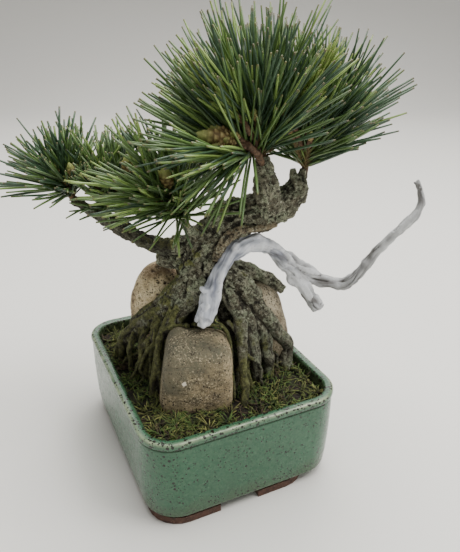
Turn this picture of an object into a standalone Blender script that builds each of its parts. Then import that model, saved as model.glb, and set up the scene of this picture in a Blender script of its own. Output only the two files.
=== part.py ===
"""Pine bonsai clasping three rocks, in a glazed pot, built from named sizes.

Lengths are in millimetres and turned into metres where a mesh is made. The pot's
short side faces -Y. The tree's own front is turned from it, so places on the tree
are given as (across, back, up) seen from that front and turned by place().
"""

import math
import random

import bmesh
import bpy
from mathutils import Matrix, Vector, noise

MM = 0.001
GAP = 0.3

POT_WIDTH = 110.0
POT_DEPTH = 134.0
POT_HEIGHT = 53.6
POT_WALL = 5.3
POT_CORNER = 17.9
POT_CORNER_GROWTH = 3.0
FOOT_HEIGHT = 4.5
FOOT_LEFT = -51.5
FOOT_RIGHT = 38.5
FOOT_INSET = 2.4
FOOT_CORNER = 17.0
FOOT_ARM = 34.0
FOOT_THICKNESS = 11.0
RIM_BAND = 2.2
FLOOR_THICKNESS = 6.0
DRAIN_RADIUS = 5.5
DRAIN_SPACING = 46.0
SOIL_TOP = 46.0
GROUND = 49.0

TREE_TURN = math.radians(24.95)

GOLDEN_ANGLE = math.pi * (3 - math.sqrt(5))
NEEDLE_LENGTH = 50.0
NEEDLE_RADIUS = 0.9
NEEDLE_TIP_RADIUS = 0.5
NEEDLE_SPACING = 1.8
SHORTEST_NEEDLE = 18.0
CANDLE_NEEDLE = 20.0
CANDLE_SPRAY = math.radians(30)


def place(across, back, up):
    """Turn a place seen from the tree's front into the pot's axes."""
    turn_cos = math.cos(TREE_TURN)
    turn_sin = math.sin(TREE_TURN)
    return Vector((across * turn_cos + back * turn_sin, back * turn_cos - across * turn_sin, up))


def clear_scene():
    for old in list(bpy.data.objects):
        bpy.data.objects.remove(old, do_unlink=True)


def material(name, color, roughness):
    made = bpy.data.materials.new(name)
    made.use_nodes = True
    shader = made.node_tree.nodes["Principled BSDF"]
    shader.inputs["Base Color"].default_value = (*color, 1.0)
    shader.inputs["Roughness"].default_value = roughness
    shader.inputs["Metallic"].default_value = 0.0
    made.diffuse_color = (*color, 1.0)
    return made


def mesh_object(name, points, faces, surface=None):
    """Make an object from points in millimetres."""
    mesh = bpy.data.meshes.new(name)
    mesh.from_pydata([Vector(point) * MM for point in points], [], faces)
    work = bmesh.new()
    work.from_mesh(mesh)
    bmesh.ops.recalc_face_normals(work, faces=work.faces)
    bmesh.ops.triangulate(work, faces=[face for face in work.faces if len(face.verts) > 4])
    work.to_mesh(mesh)
    work.free()
    made = bpy.data.objects.new(name, mesh)
    bpy.context.scene.collection.objects.link(made)
    if surface:
        mesh.materials.append(surface)
    return made


def drop(objects):
    for old in objects:
        mesh = old.data
        bpy.data.objects.remove(old, do_unlink=True)
        bpy.data.meshes.remove(mesh)


def apply_boolean(body, others, operation, solver):
    """Join others to a body, or cut them from it, and remove them."""
    group = bpy.data.collections.new(body.name + "_others")
    bpy.context.scene.collection.children.link(group)
    for other in others:
        group.objects.link(other)
    modifier = body.modifiers.new(operation.title(), "BOOLEAN")
    modifier.operation = operation
    modifier.operand_type = "COLLECTION"
    modifier.collection = group
    modifier.solver = solver
    bpy.context.view_layer.update()
    evaluated = body.evaluated_get(bpy.context.evaluated_depsgraph_get())
    result = bpy.data.meshes.new_from_object(evaluated)
    body.modifiers.clear()
    body.data = result
    bpy.data.collections.remove(group)
    drop(others)


def keep_largest(body):
    """Fill hollows sealed by fusing and drop loose scraps."""
    work = bmesh.new()
    work.from_mesh(body.data)
    unseen = set(work.verts)
    groups = []
    while unseen:
        start = unseen.pop()
        group = {start}
        stack = [start]
        while stack:
            for edge in stack.pop().link_edges:
                for vert in edge.verts:
                    if vert in unseen:
                        unseen.discard(vert)
                        group.add(vert)
                        stack.append(vert)
        groups.append(group)
    largest = max(groups, key=spread)
    extra = [vert for group in groups if group is not largest for vert in group]
    bmesh.ops.delete(work, geom=extra, context="VERTS")
    work.to_mesh(body.data)
    work.free()


def spread(verts):
    """The diagonal of the box round a group of vertices."""
    sides = [[vert.co[axis] for vert in verts] for axis in range(3)]
    return math.sqrt(sum((max(side) - min(side)) ** 2 for side in sides))


def smooth(body, degrees=40.0):
    body.data.shade_smooth()
    body.data.set_sharp_from_angle(angle=math.radians(degrees))


def curve_through(points, radii, step):
    """Sample a smooth curve through the points, with the radius easing along it."""
    centres = []
    widths = []
    count = len(points)
    for index in range(count - 1):
        before = points[max(index - 1, 0)]
        start = points[index]
        end = points[index + 1]
        after = points[min(index + 2, count - 1)]
        pieces = max(1, round((end - start).length / step))
        for piece in range(pieces):
            t = piece / pieces
            centres.append(0.5 * (2 * start + (end - before) * t
                                  + (2 * before - 5 * start + 4 * end - after) * t ** 2
                                  + (3 * start - before - 3 * end + after) * t ** 3))
            widths.append(radii[index] + (radii[index + 1] - radii[index]) * t)
    centres.append(points[-1])
    widths.append(radii[-1])
    return centres, widths


def tangents_along(centres):
    last = len(centres) - 1
    return [(centres[min(index + 1, last)] - centres[max(index - 1, 0)]).normalized()
            for index in range(last + 1)]


def tube(name, centres, widths, sides, surface=None, lumps=0.0, foot=None, tangents=None):
    """Sweep a round section along centres; foot levels the last ring at that height."""
    tangents = tangents or tangents_along(centres)
    last = len(centres) - 1
    side = tangents[0].orthogonal().normalized()
    points = []
    for index, centre in enumerate(centres):
        side = (side - tangents[index] * side.dot(tangents[index])).normalized()
        other = tangents[index].cross(side)
        for step in range(sides):
            angle = 2 * math.pi * step / sides
            out = side * math.cos(angle) + other * math.sin(angle)
            swell = 1.0 + lumps * noise.noise((centre + out * widths[index]) * 0.12)
            point = centre + out * widths[index] * swell
            if foot is not None and index == last:
                point.z = foot
            points.append(point)
    faces = []
    for ring in range(last):
        for step in range(sides):
            after = (step + 1) % sides
            faces.append((ring * sides + step, ring * sides + after,
                          (ring + 1) * sides + after, (ring + 1) * sides + step))
    faces.append(tuple(reversed(range(sides))))
    faces.append(tuple(last * sides + step for step in range(sides)))
    return mesh_object(name, points, faces, surface)


def rounded_ring(half_x, half_y, corner, height, per_corner=6):
    """Points round a rectangle with round corners."""
    ring = []
    for quarter, (sign_x, sign_y) in enumerate(((1, 1), (-1, 1), (-1, -1), (1, -1))):
        for step in range(per_corner + 1):
            angle = math.pi / 2 * (quarter + step / per_corner)
            ring.append((sign_x * (half_x - corner) + corner * math.cos(angle),
                         sign_y * (half_y - corner) + corner * math.sin(angle), height))
    return ring


def stacked(name, rings, surface):
    """A closed body from a stack of rings with capped ends."""
    count = len(rings[0])
    points = [point for ring in rings for point in ring]
    faces = []
    for level in range(len(rings) - 1):
        for step in range(count):
            after = (step + 1) % count
            faces.append((level * count + step, level * count + after,
                          (level + 1) * count + after, (level + 1) * count + step))
    faces.append(tuple(reversed(range(count))))
    faces.append(tuple((len(rings) - 1) * count + step for step in range(count)))
    return mesh_object(name, points, faces, surface)


def pot_section(inset, height):
    """The pot's outline, drawn in by an inset; its corners are rounder lower down."""
    corner = POT_CORNER + POT_CORNER_GROWTH * (1 - height / POT_HEIGHT) - inset
    return rounded_ring(POT_WIDTH / 2 - inset, POT_DEPTH / 2 - inset, corner, height)


def build_pot(glaze, clay):
    """Bellied glazed body with a rim band, two drain holes and four corner feet."""
    rim_low = POT_HEIGHT - RIM_BAND
    floor = FOOT_HEIGHT + FLOOR_THICKNESS
    profile = [(3.2, FOOT_HEIGHT), (1.9, FOOT_HEIGHT + 0.5), (1.4, FOOT_HEIGHT + 1.8),
               (0.6, FOOT_HEIGHT + 12.0), (0.2, rim_low - 14.0), (0.6, rim_low - 0.3),
               (0.0, rim_low + 0.1), (0.1, POT_HEIGHT - 0.9),
               (1.3, POT_HEIGHT), (POT_WALL - 1.2, POT_HEIGHT),
               (POT_WALL, POT_HEIGHT - 1.0), (POT_WALL + 0.6, floor)]
    pot = stacked("pot", [pot_section(*level) for level in profile], glaze)
    holes = []
    for side in (-1, 1):
        hole = stacked("drain", [rounded_ring(DRAIN_RADIUS, DRAIN_RADIUS, DRAIN_RADIUS, height, 4)
                                 for height in (FOOT_HEIGHT - 2, floor + 2)], None)
        hole.data.transform(Matrix.Translation((0, side * DRAIN_SPACING / 2 * MM, 0)))
        holes.append(hole)
    apply_boolean(pot, holes, "DIFFERENCE", "EXACT")
    smooth(pot)
    for name, sign_x, sign_y in (("foot_front_left", -1, -1), ("foot_front_right", 1, -1),
                                 ("foot_back_left", -1, 1), ("foot_back_right", 1, 1)):
        build_foot(name, sign_x, sign_y, clay)


def build_foot(name, sign_x, sign_y, clay):
    """A low corner foot: an L with a round outer corner."""
    reach_x = FOOT_RIGHT if sign_x > 0 else -FOOT_LEFT
    reach_y = POT_DEPTH / 2 - FOOT_INSET
    outline = [(reach_x - FOOT_ARM, reach_y)]
    for step in range(7):
        angle = math.pi / 2 * (1 - step / 6)
        outline.append((reach_x - FOOT_CORNER + FOOT_CORNER * math.cos(angle),
                        reach_y - FOOT_CORNER + FOOT_CORNER * math.sin(angle)))
    outline += [(reach_x, reach_y - FOOT_ARM), (reach_x - FOOT_THICKNESS, reach_y - FOOT_ARM),
                (reach_x - FOOT_THICKNESS, reach_y - FOOT_THICKNESS),
                (reach_x - FOOT_ARM, reach_y - FOOT_THICKNESS)]
    count = len(outline)
    points = [(sign_x * x, sign_y * y, height)
              for height in (0.0, FOOT_HEIGHT - GAP) for x, y in outline]
    faces = [(step, (step + 1) % count, count + (step + 1) % count, count + step)
             for step in range(count)]
    faces += [tuple(range(count)), tuple(range(count, 2 * count))]
    mesh_object(name, points, faces, clay)


def build_ground(earth, moss):
    """Soil up to just under the rim, with a moss blanket rounded at its edge."""
    inset = POT_WALL + 0.6 + GAP
    floor = FOOT_HEIGHT + FLOOR_THICKNESS + GAP
    stacked("soil", [pot_section(inset, floor), pot_section(inset, SOIL_TOP)], earth)
    layers = [(inset + 0.3, SOIL_TOP + GAP), (inset + 0.3, GROUND - 1.4),
              (inset + 1.6, GROUND - 0.5), (inset + 4.5, GROUND)]
    blanket = stacked("moss", [pot_section(*level) for level in layers], moss)
    smooth(blanket)


class Rock:
    """A worn stone: a ball squared up by a power, then lumped."""

    def __init__(self, name, centre, half, power, turn, lean, seed):
        self.name = name
        self.centre = place(*centre)
        self.half = half
        self.power = power
        self.turn = (Matrix.Rotation(-TREE_TURN + math.radians(turn), 3, "Z")
                     @ Matrix.Rotation(math.radians(lean), 3, "Y"))
        self.seed = seed

    def surface_scale(self, way):
        """How far the surface lies along a way, in the stone's own axes."""
        total = sum((abs(way[axis]) / self.half[axis]) ** self.power for axis in range(3))
        lump = 1.0 + 0.07 * noise.noise(way * 1.6 + Vector((self.seed, 0, 0)))
        return lump / total ** (1 / self.power)

    def push_out(self, point, cover):
        """Move a point straight out until it is a cover above the surface."""
        local = self.turn.transposed() @ (point - self.centre)
        far = local.length
        if far < 0.01:
            return point
        way = local / far
        need = self.surface_scale(way) + cover
        if far >= need:
            return point
        return self.centre + self.turn @ (way * need)

    def build(self, surface, grow=0.0, floor=GROUND + GAP):
        work = bmesh.new()
        bmesh.ops.create_icosphere(work, subdivisions=3, radius=1.0)
        for vert in work.verts:
            way = vert.co.normalized()
            spot = self.centre + self.turn @ (way * (self.surface_scale(way) + grow))
            spot.z = max(spot.z, floor)
            vert.co = spot * MM
        bmesh.ops.dissolve_limit(work, angle_limit=math.radians(0.5),
                                 verts=work.verts, edges=work.edges)
        bmesh.ops.triangulate(work, faces=work.faces)
        mesh = bpy.data.meshes.new(self.name)
        work.to_mesh(mesh)
        work.free()
        made = bpy.data.objects.new(self.name, mesh)
        bpy.context.scene.collection.objects.link(made)
        if surface:
            mesh.materials.append(surface)
            smooth(made)
        return made


def rocks():
    return [Rock("rock_front", (-2.0, -32.0, 65.0), (19.0, 15.5, 21.0), 4.5, 6.0, -3.0, 1.0),
            Rock("rock_left", (-26.0, 13.0, 79.0), (16.5, 16.0, 28.0), 2.1, 0.0, 4.0, 5.0),
            Rock("rock_right", (35.0, 8.0, 72.0), (14.0, 17.0, 26.5), 2.4, 0.0, -12.0, 9.0)]


TRUNK_LINE = [((4.5, 3.0, 90.0), 9.0), ((3.0, 4.0, 100.0), 11.5), ((2.0, 4.0, 110.0), 11.0),
              ((3.5, 4.0, 121.0), 11.0), ((11.8, 3.5, 131.5), 11.5), ((23.5, 3.5, 138.7), 10.2),
              ((35.3, 4.0, 141.6), 9.0), ((45.8, 5.0, 145.3), 8.0), ((52.8, 6.0, 151.5), 6.4),
              ((55.2, 6.0, 159.0), 4.4)]

ROOTS = [
    [((0, -2, 111), 8.0), ((-10.8, -6, 99), 7.2), ((-22.5, -6, 85), 6.4),
     ((-35, 0, 72), 5.6), ((-46, 6, 60), 4.6), ((-52, 11, 48), 4.0)],
    [((0, -6, 106), 6.5), ((-7.5, -13, 93), 5.6), ((-15.5, -18, 79), 4.8),
     ((-22, -25, 63), 3.8), ((-26, -32, 48), 3.2)],
    [((-4, -4, 104), 6.0), ((-13, -8, 91), 5.2), ((-22, -11, 78), 4.4),
     ((-29, -13, 63), 3.6), ((-32, -17, 48), 3.2)],
    [((6, 2, 109), 8.5), ((20.9, -3, 101), 7.5), ((31, -6, 89), 6.0),
     ((41, -4, 74), 4.4), ((48.5, -1, 60), 4.4), ((49, -6, 48), 4.4)],
    [((8, -4, 104), 5.5), ((17, -15, 88), 4.4), ((21.5, -25, 73), 3.4),
     ((23.5, -35, 59), 3.0), ((23.7, -41, 48), 2.8)],
    [((12, -3, 102), 5.5), ((25, -12, 85), 4.4), ((31, -16, 67), 3.4), ((33.5, -18, 48), 3.0)],
    [((16, -1, 100), 6.0), ((34, -9, 79), 4.8), ((40, -11, 62), 3.8), ((42, -13, 48), 3.2)],
    [((6, 8, 108), 7.0), ((18, 20, 94), 5.4), ((27, 29, 76), 4.2),
     ((29, 32, 60), 3.4), ((31, 33, 48), 3.2)],
    [((0, 9, 106), 6.5), ((0, 22, 92), 5.0), ((2, 31, 74), 3.8), ((3, 36, 48), 3.2)],
    [((-3, 8, 106), 6.5), ((-14, 24, 94), 4.8), ((-22, 33, 78), 3.8),
     ((-28, 37, 62), 3.2), ((-31, 40, 48), 3.0)],
    [((10, 6, 104), 5.0), ((12, 20, 88), 3.6), ((15, 27, 68), 2.8), ((17, 31, 48), 2.4)],
    [((-6, 4, 104), 5.0), ((-9, 8, 88), 4.0), ((-8, 3, 68), 3.4), ((-10, 4, 48), 3.2)],
    [((10, 2, 100), 5.0), ((13, 1, 84), 4.4), ((15, -1, 66), 3.8), ((16, -3, 48), 3.6)],
]

STUB_RIGHT = [((8, 4, 111), 5.5), ((24.5, 7, 105.5), 4.4), ((36, 8, 100), 3.6), ((47, 9, 92), 2.6)]
STUB_LEFT = [((-2, 5, 112), 6.5), ((-14.9, 8, 112), 5.0), ((-24.7, 10, 112.5), 3.6)]

DEAD_FALL = [((2.7, -24.5, 92.0), 4.0), ((5.5, -18, 98.5), 4.2), ((9, -12.0, 109), 3.8),
             ((14.5, -8, 118.2), 4.2), ((21, -6, 124), 4.6), ((29.9, -4, 126), 4.3),
             ((39.3, -3, 122), 4.4), ((46.7, -2, 114.5), 4.2), ((53.2, -1, 104.5), 3.7),
             ((59.1, -2, 95.5), 3.4), ((64.5, -2, 87), 3.1)]
DEAD_SWEEP = [((43.5, -2, 118.5), 4.6), ((54, 1, 109.5), 4.2), ((64.7, 2, 102.3), 3.8),
              ((75.8, 1, 99.3), 3.5), ((84, -1, 103.0), 3.2), ((91.3, -3, 114.3), 2.8),
              ((97.6, -5, 126.1), 2.6), ((105.8, -7, 135.7), 2.4), ((111.3, -8, 143.1), 2.3),
              ((113.5, -8, 149.5), 1.9), ((111.6, -8, 155.7), 1.5), ((109.9, -8, 160.8), 0.8)]
BOUGH_LEFT = [((-4, 4, 123), 5.2), ((-12.6, 5, 120.4), 4.8), ((-22.1, 6, 119.8), 4.2),
              ((-32.9, 7, 124.2), 3.9), ((-43.6, 8, 130.8), 3.4), ((-53.6, 9, 136.8), 3.0),
              ((-61.5, 10, 141), 2.6), ((-68.3, 11, 145.2), 2.2)]
LEADER = [((35.8, 1, 142), 6.4), ((35.4, -6, 149), 5.6), ((34.2, -8, 157), 4.8),
          ((33.0, -7, 168.5), 4.3)]
FORK_LEFT = [((55.0, 6, 160.2), 3.4), ((50.5, 5, 166.5), 3.0)]
FORK_RIGHT = [((55.3, 6, 160.2), 3.8), ((58.5, 7, 168.5), 3.0)]
SHOOT_MIDDLE = [((1.5, 0, 127), 2.6), ((-5.5, -11, 137), 2.0), ((-7.5, -14, 146), 1.8)]


def line(steps):
    """Split a limb's stated line into turned centres and radii."""
    return [place(*spot) for spot, radius in steps], [radius for spot, radius in steps]


def limb(name, steps, sides=10, step=6.0, surface=None, lumps=0.25, grow=0.0, foot=None):
    points, radii = line(steps)
    centres, widths = curve_through(points, radii, step)
    widths = [width + grow for width in widths]
    return tube(name, centres, widths, sides, surface, lumps, foot)


def build_root(steps, stones):
    """A root that runs over the stones and ends flat on the moss."""
    points, radii = line(steps)
    centres, widths = curve_through(points, radii, 8.5)
    for index in range(1, len(centres) - 1):
        for stone in stones:
            centres[index] = stone.push_out(centres[index], widths[index] * 0.5)
    low = GROUND + GAP
    while centres[-2].z < low + 3.0:
        centres.pop(-2)
        widths.pop(-2)
    end = centres[-1]
    for stone in stones:
        end = stone.push_out(end, widths[-1] * 0.5)
    centres[-1] = Vector((end.x, end.y, low))
    return tube("root", centres, widths, 7, None, 0.3, foot=low)


def build_trunk(bark, stones):
    """Trunk with its root flare, grooved where the deadwood lies in it."""
    trunk = limb("trunk", TRUNK_LINE, sides=12, step=6.0, surface=bark, lumps=0.3)
    parts = [build_root(steps, stones) for steps in ROOTS]
    parts += [limb("stub", steps, sides=8) for steps in (STUB_RIGHT, STUB_LEFT)]
    apply_boolean(trunk, parts, "UNION", "EXACT")
    cutters = [stone.build(None, GAP, GROUND - 3.0) for stone in stones]
    cutters.append(limb("groove", DEAD_FALL, sides=9, grow=GAP, lumps=0.15))
    cutters.append(limb("groove", DEAD_SWEEP, sides=9, grow=GAP, lumps=0.15))
    apply_boolean(trunk, cutters, "DIFFERENCE", "EXACT")
    keep_largest(trunk)
    smooth(trunk)
    return trunk


def build_chain(names, steps, cuts, surface, sides, lumps):
    """One smooth limb, split at its bends into pieces a hair apart."""
    points, radii = line(steps)
    centres, widths = curve_through(points, radii, 6.0)
    marks = [0] + [min(range(len(centres)), key=lambda k: (centres[k] - points[cut]).length)
                   for cut in cuts] + [len(centres) - 1]
    ways = tangents_along(centres)
    pieces = []
    for name, start, end in zip(names, marks, marks[1:]):
        run = [point.copy() for point in centres[start:end + 1]]
        if start:
            run[0] += ways[start] * GAP
        pieces.append(tube(name, run, widths[start:end + 1], sides, surface, lumps,
                           tangents=ways[start:end + 1]))
    for piece in pieces:
        smooth(piece)
    return pieces


def build_deadwood(silver):
    build_chain(["deadwood_rise", "deadwood_fall"], DEAD_FALL, [6], silver, 9, 0.15)
    sweep = build_chain(["deadwood_sweep", "deadwood_tip"], DEAD_SWEEP, [5], silver, 9, 0.15)
    apply_boolean(sweep[0], [limb("cut", DEAD_FALL, sides=9, grow=GAP, lumps=0.15)],
                  "DIFFERENCE", "EXACT")
    keep_largest(sweep[0])


def build_boughs(bark):
    """Boughs that start a hair outside the trunk."""
    pieces = build_chain(["bough_left_inner", "bough_left_outer"], BOUGH_LEFT, [3], bark, 9, 0.25)
    pieces.append(limb("bough_crown_left", LEADER, 9, surface=bark))
    fork = limb("bough_crown_right", FORK_RIGHT, 8, surface=bark)
    apply_boolean(fork, [limb("arm", FORK_LEFT, 8)], "UNION", "EXACT")
    pieces.append(fork)
    pieces.append(limb("shoot_middle", SHOOT_MIDDLE, 7, surface=bark))
    for piece in pieces:
        if piece.name != "bough_left_outer":
            grown = limb("cut", TRUNK_LINE, sides=12, step=6.0, lumps=0.3, grow=GAP)
            stub = limb("cut", STUB_LEFT, sides=8, grow=GAP)
            apply_boolean(piece, [grown, stub], "DIFFERENCE", "EXACT")
            keep_largest(piece)
        smooth(piece)


class Mass:
    """One mass of foliage: shoots fanned from a stem, each a core full of needles."""

    def __init__(self, name, bearer, stem, aim, fan, shoots, reach, spray, needles, length,
                 walls, seed, candle=None):
        self.name = name
        self.bearer = bearer
        self.stem = [place(*spot) for spot in stem]
        self.aim = place(*aim).normalized()
        self.fan = math.radians(fan)
        self.shoots = shoots
        self.reach = reach
        self.spray = math.radians(spray)
        self.needles = needles
        self.length = length
        self.walls = [(place(*spot), place(*way).normalized()) for spot, way in walls]
        self.seed = seed
        self.candle = candle and [place(*spot) for spot in candle]

    def inside(self, point, margin):
        return all((point - spot).dot(way) > margin for spot, way in self.walls)


def around(aim, tilt, angle):
    """The direction tilted that far from an aim, at that angle round it."""
    side = aim.orthogonal().normalized()
    out = side * math.cos(angle) + aim.cross(side) * math.sin(angle)
    return aim * math.cos(tilt) + out * math.sin(tilt)


def fan_ways(aim, spread_angle, count, turn):
    """Evenly fanned directions in a cone, by the golden angle."""
    tilts = [math.acos(1 - (1 - math.cos(spread_angle)) * (index + 0.5) / count)
             for index in range(count)]
    return [around(aim, tilt, index * GOLDEN_ANGLE + turn) for index, tilt in enumerate(tilts)]


def brush_ways(aim, spray, count, turn):
    """Needle directions up a shoot with how far up each stands: a spiral by the golden
    angle, wide open at the foot of the shoot and closing towards its tip."""
    shares = [(index + 0.5) / count for index in range(count)]
    return [(share, around(aim, spray * (1 - 0.6 * share), index * GOLDEN_ANGLE + turn))
            for index, share in enumerate(shares)]


LIMB_LINES = [TRUNK_LINE, STUB_RIGHT, STUB_LEFT, DEAD_FALL, DEAD_SWEEP, BOUGH_LEFT,
              LEADER, FORK_LEFT, FORK_RIGHT, SHOOT_MIDDLE]


def limb_beads():
    """Balls along every limb, which no needle may touch."""
    beads = []
    for steps in LIMB_LINES:
        points, radii = line(steps)
        beads += zip(*curve_through(points, radii, 2.0))
    return beads


def touches(start, end, thick, beads):
    """Whether a straight needle comes too near a limb."""
    way = end - start
    long = way.length_squared
    for centre, radius in beads:
        t = max(0.0, min(1.0, (centre - start).dot(way) / long))
        if (start + way * t - centre).length < radius * 1.3 + thick + GAP:
            return True
    return False


def needle(start, end):
    """A slim three-sided spike with a blunt tip."""
    return tube("needle", [start, end], [NEEDLE_RADIUS, NEEDLE_TIP_RADIUS], 3)


def closest(one, two):
    """The least distance between two straight lines, each a start and an end."""
    start, way = one[0], one[1] - one[0]
    other, path = two[0], two[1] - two[0]
    between = start - other
    a, b, c = way.dot(way), way.dot(path), path.dot(path)
    d, e = way.dot(between), path.dot(between)
    along = max(0.0, min(1.0, (b * e - c * d) / max(a * c - b * b, 1e-9)))
    beside = max(0.0, min(1.0, (b * along + e) / c))
    along = max(0.0, min(1.0, (b * beside - d) / a))
    return (start + way * along - other - path * beside).length


def build_stem(mass, surface):
    """The stem of a mass, starting a hair from the tip or the side of its bough."""
    points, radii = line(mass.bearer)
    centres, widths = curve_through(points, radii, 6.0)
    way = tangents_along(centres)[-1]
    tip = centres[-1] + way * GAP
    at_tip = (mass.stem[0] - tip).length < 3.0
    stem = [tip] + mass.stem[1:] if at_tip else mass.stem
    run, run_widths = curve_through(stem, [2.0] + [1.8] * (len(stem) - 1), 6.0)
    ways = tangents_along(run)
    if at_tip:
        ways[0] = way
        return tube(mass.name, run, run_widths, 6, surface, tangents=ways)
    body = tube(mass.name, run, run_widths, 6, surface)
    apply_boolean(body, [limb("cut", mass.bearer, 9, grow=GAP)], "DIFFERENCE", "EXACT")
    keep_largest(body)
    return body


def build_mass(mass, surface, beads):
    """Fuse a mass: stem, fanned shoots and needles that neither cross nor leave its space."""
    chance = random.Random(mass.seed)
    fork = mass.stem[-1]
    body = build_stem(mass, surface)
    parts, placed = [], []

    def set_needle(root, out, length):
        while not mass.inside(root + out * length, 1.0) and length > SHORTEST_NEEDLE:
            length *= 0.9
        free = (root + out * 4.5, root + out * length)
        if not mass.inside(free[1], 1.0) or touches(*free, 1.0, beads):
            return
        if all(closest(free, other) >= NEEDLE_SPACING for other in placed):
            placed.append(free)
            parts.append(needle(root, free[1]))

    if mass.candle:
        foot, tip = mass.candle
        parts.append(tube("core", [fork, foot, tip], [1.2, 1.6, 2.2], 5))
        for share, out in brush_ways((tip - foot).normalized(), CANDLE_SPRAY, 12, 0.0):
            set_needle(foot.lerp(tip, 0.2 + 0.75 * share), out, CANDLE_NEEDLE)
    cores = []
    for way in fan_ways(mass.aim, mass.fan, mass.shoots, chance.uniform(0, 6.28)):
        tip = fork + way * mass.reach * chance.uniform(0.85, 1.1)
        if mass.inside(tip, 3.0) and not touches(fork.lerp(tip, 0.45), tip, 2.0, beads):
            cores.append((tip, way))
    parts += [tube("core", [fork - way * 0.5, fork.lerp(tip, 0.45), fork.lerp(tip, 0.85), tip],
                   [1.1, 1.4, 2.2, 1.0], 5) for tip, way in cores]
    for tip, way in cores:
        for share, out in brush_ways(way, mass.spray, mass.needles, chance.uniform(0, 6.28)):
            length = NEEDLE_LENGTH * mass.length * chance.uniform(0.86, 1.06)
            set_needle(fork.lerp(tip, 0.35 + 0.63 * share), out, length)
    apply_boolean(body, parts, "UNION", "MANIFOLD")
    keep_largest(body)


def masses():
    """The tree's masses of foliage, each walled off from its neighbours."""
    tip_mid = ((-58, 0, 150), (1, 0, 0.1))
    mid_centre = ((-28, -8, 170), (0.7, -0.7, 0))
    centre_front = ((3, -26, 176), (0.75, -0.25, 0.6))
    low_crown = ((5, -10, 180), (0.3, 0, 0.95))
    front_crown = ((30, -10, 174), (0.25, 0.75, 0.6))
    crown_split = ((44, 0, 176), (0.6, 0.8, 0))

    def before(wall):
        return wall[0], tuple(-value for value in wall[1])

    def above(across, back, up, lean=0.0):
        return (across, back, up), (lean, 0.0, 1.0)

    return [
        Mass("foliage_left_tip", BOUGH_LEFT, [(-68.3, 11, 145.2), (-69, 11, 148)],
             (-0.12, 0.0, 1.0), 52, 6, 13, 74, 30, 0.64, [before(tip_mid), above(-85, 8, 154, 0.1)],
             11),
        Mass("foliage_left_middle", BOUGH_LEFT, [(-52, 8.8, 136), (-50, 8, 142), (-46, 7, 147)],
             (0.12, -0.05, 1.0), 55, 6, 14, 72, 30, 0.62,
             [tip_mid, before(mid_centre), before(low_crown), above(-45, 0, 143)], 25),
        Mass("foliage_centre", SHOOT_MIDDLE, [(-7.5, -14, 146), (-9, -16, 150)],
             (-0.30, -0.15, 0.90), 55, 7, 18, 72, 30, 0.80,
             [mid_centre, before(centre_front), before(low_crown), above(-20, -14, 142, 0.3),
              ((14, -14, 150), (-0.9, 0, 0.45))], 31),
        Mass("foliage_front", LEADER, [(33, -8, 164.5), (28, -15, 172), (25, -18, 178)],
             (-0.80, -0.55, 0.20), 30, 3, 14, 68, 36, 0.90,
             [centre_front, before(front_crown), above(-5, -40, 154), ((24, -20, 165), (-0.8, 0, 0.6))],
             47),
        Mass("foliage_crown_left", LEADER, [(33.0, -7, 168.5), (32.5, -6.5, 172)],
             (-0.33, 0.05, 0.93), 57, 13, 24, 56, 28, 0.96,
             [low_crown, front_crown, before(crown_split)], 53, [(22, -9, 188), (5, -12, 209)]),
        Mass("foliage_crown_right", FORK_RIGHT, [(58.5, 7, 168.5), (57, 7, 171)],
             (0.0, 0.0, 1.0), 45, 11, 22, 57, 28, 0.84, [crown_split, above(90, 8, 182, -0.3)],
             67, [(57, 6, 188), (71, 2, 213)]),
    ]


def centre_on_box():
    """Shift the whole model so that its box stands centred on the origin."""
    parts = [body for body in bpy.data.objects if body.type == "MESH"]
    corners = [vert.co for body in parts for vert in body.data.vertices]
    low = [min(corner[axis] for corner in corners) for axis in range(3)]
    high = [max(corner[axis] for corner in corners) for axis in range(3)]
    shift = Vector((-(low[0] + high[0]) / 2, -(low[1] + high[1]) / 2, -low[2]))
    for body in parts:
        body.data.transform(Matrix.Translation(shift))


clear_scene()
glaze = material("jade_glaze", (0.16, 0.33, 0.22), 0.25)
clay = material("bare_clay", (0.12, 0.05, 0.035), 0.8)
earth = material("soil", (0.07, 0.05, 0.03), 0.95)
moss = material("moss", (0.12, 0.15, 0.03), 0.95)
stone = material("stone", (0.35, 0.28, 0.19), 0.85)
bark = material("bark", (0.12, 0.10, 0.075), 0.9)
silver = material("silver_wood", (0.52, 0.55, 0.60), 0.7)
leaf = material("needles", (0.05, 0.13, 0.03), 0.5)

build_pot(glaze, clay)
build_ground(earth, moss)
stones = rocks()
for rock in stones:
    rock.build(stone)
build_trunk(bark, stones)
build_deadwood(silver)
build_boughs(bark)
beads = limb_beads()
for mass in masses():
    build_mass(mass, leaf, beads)
centre_on_box()
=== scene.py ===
import math

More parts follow.
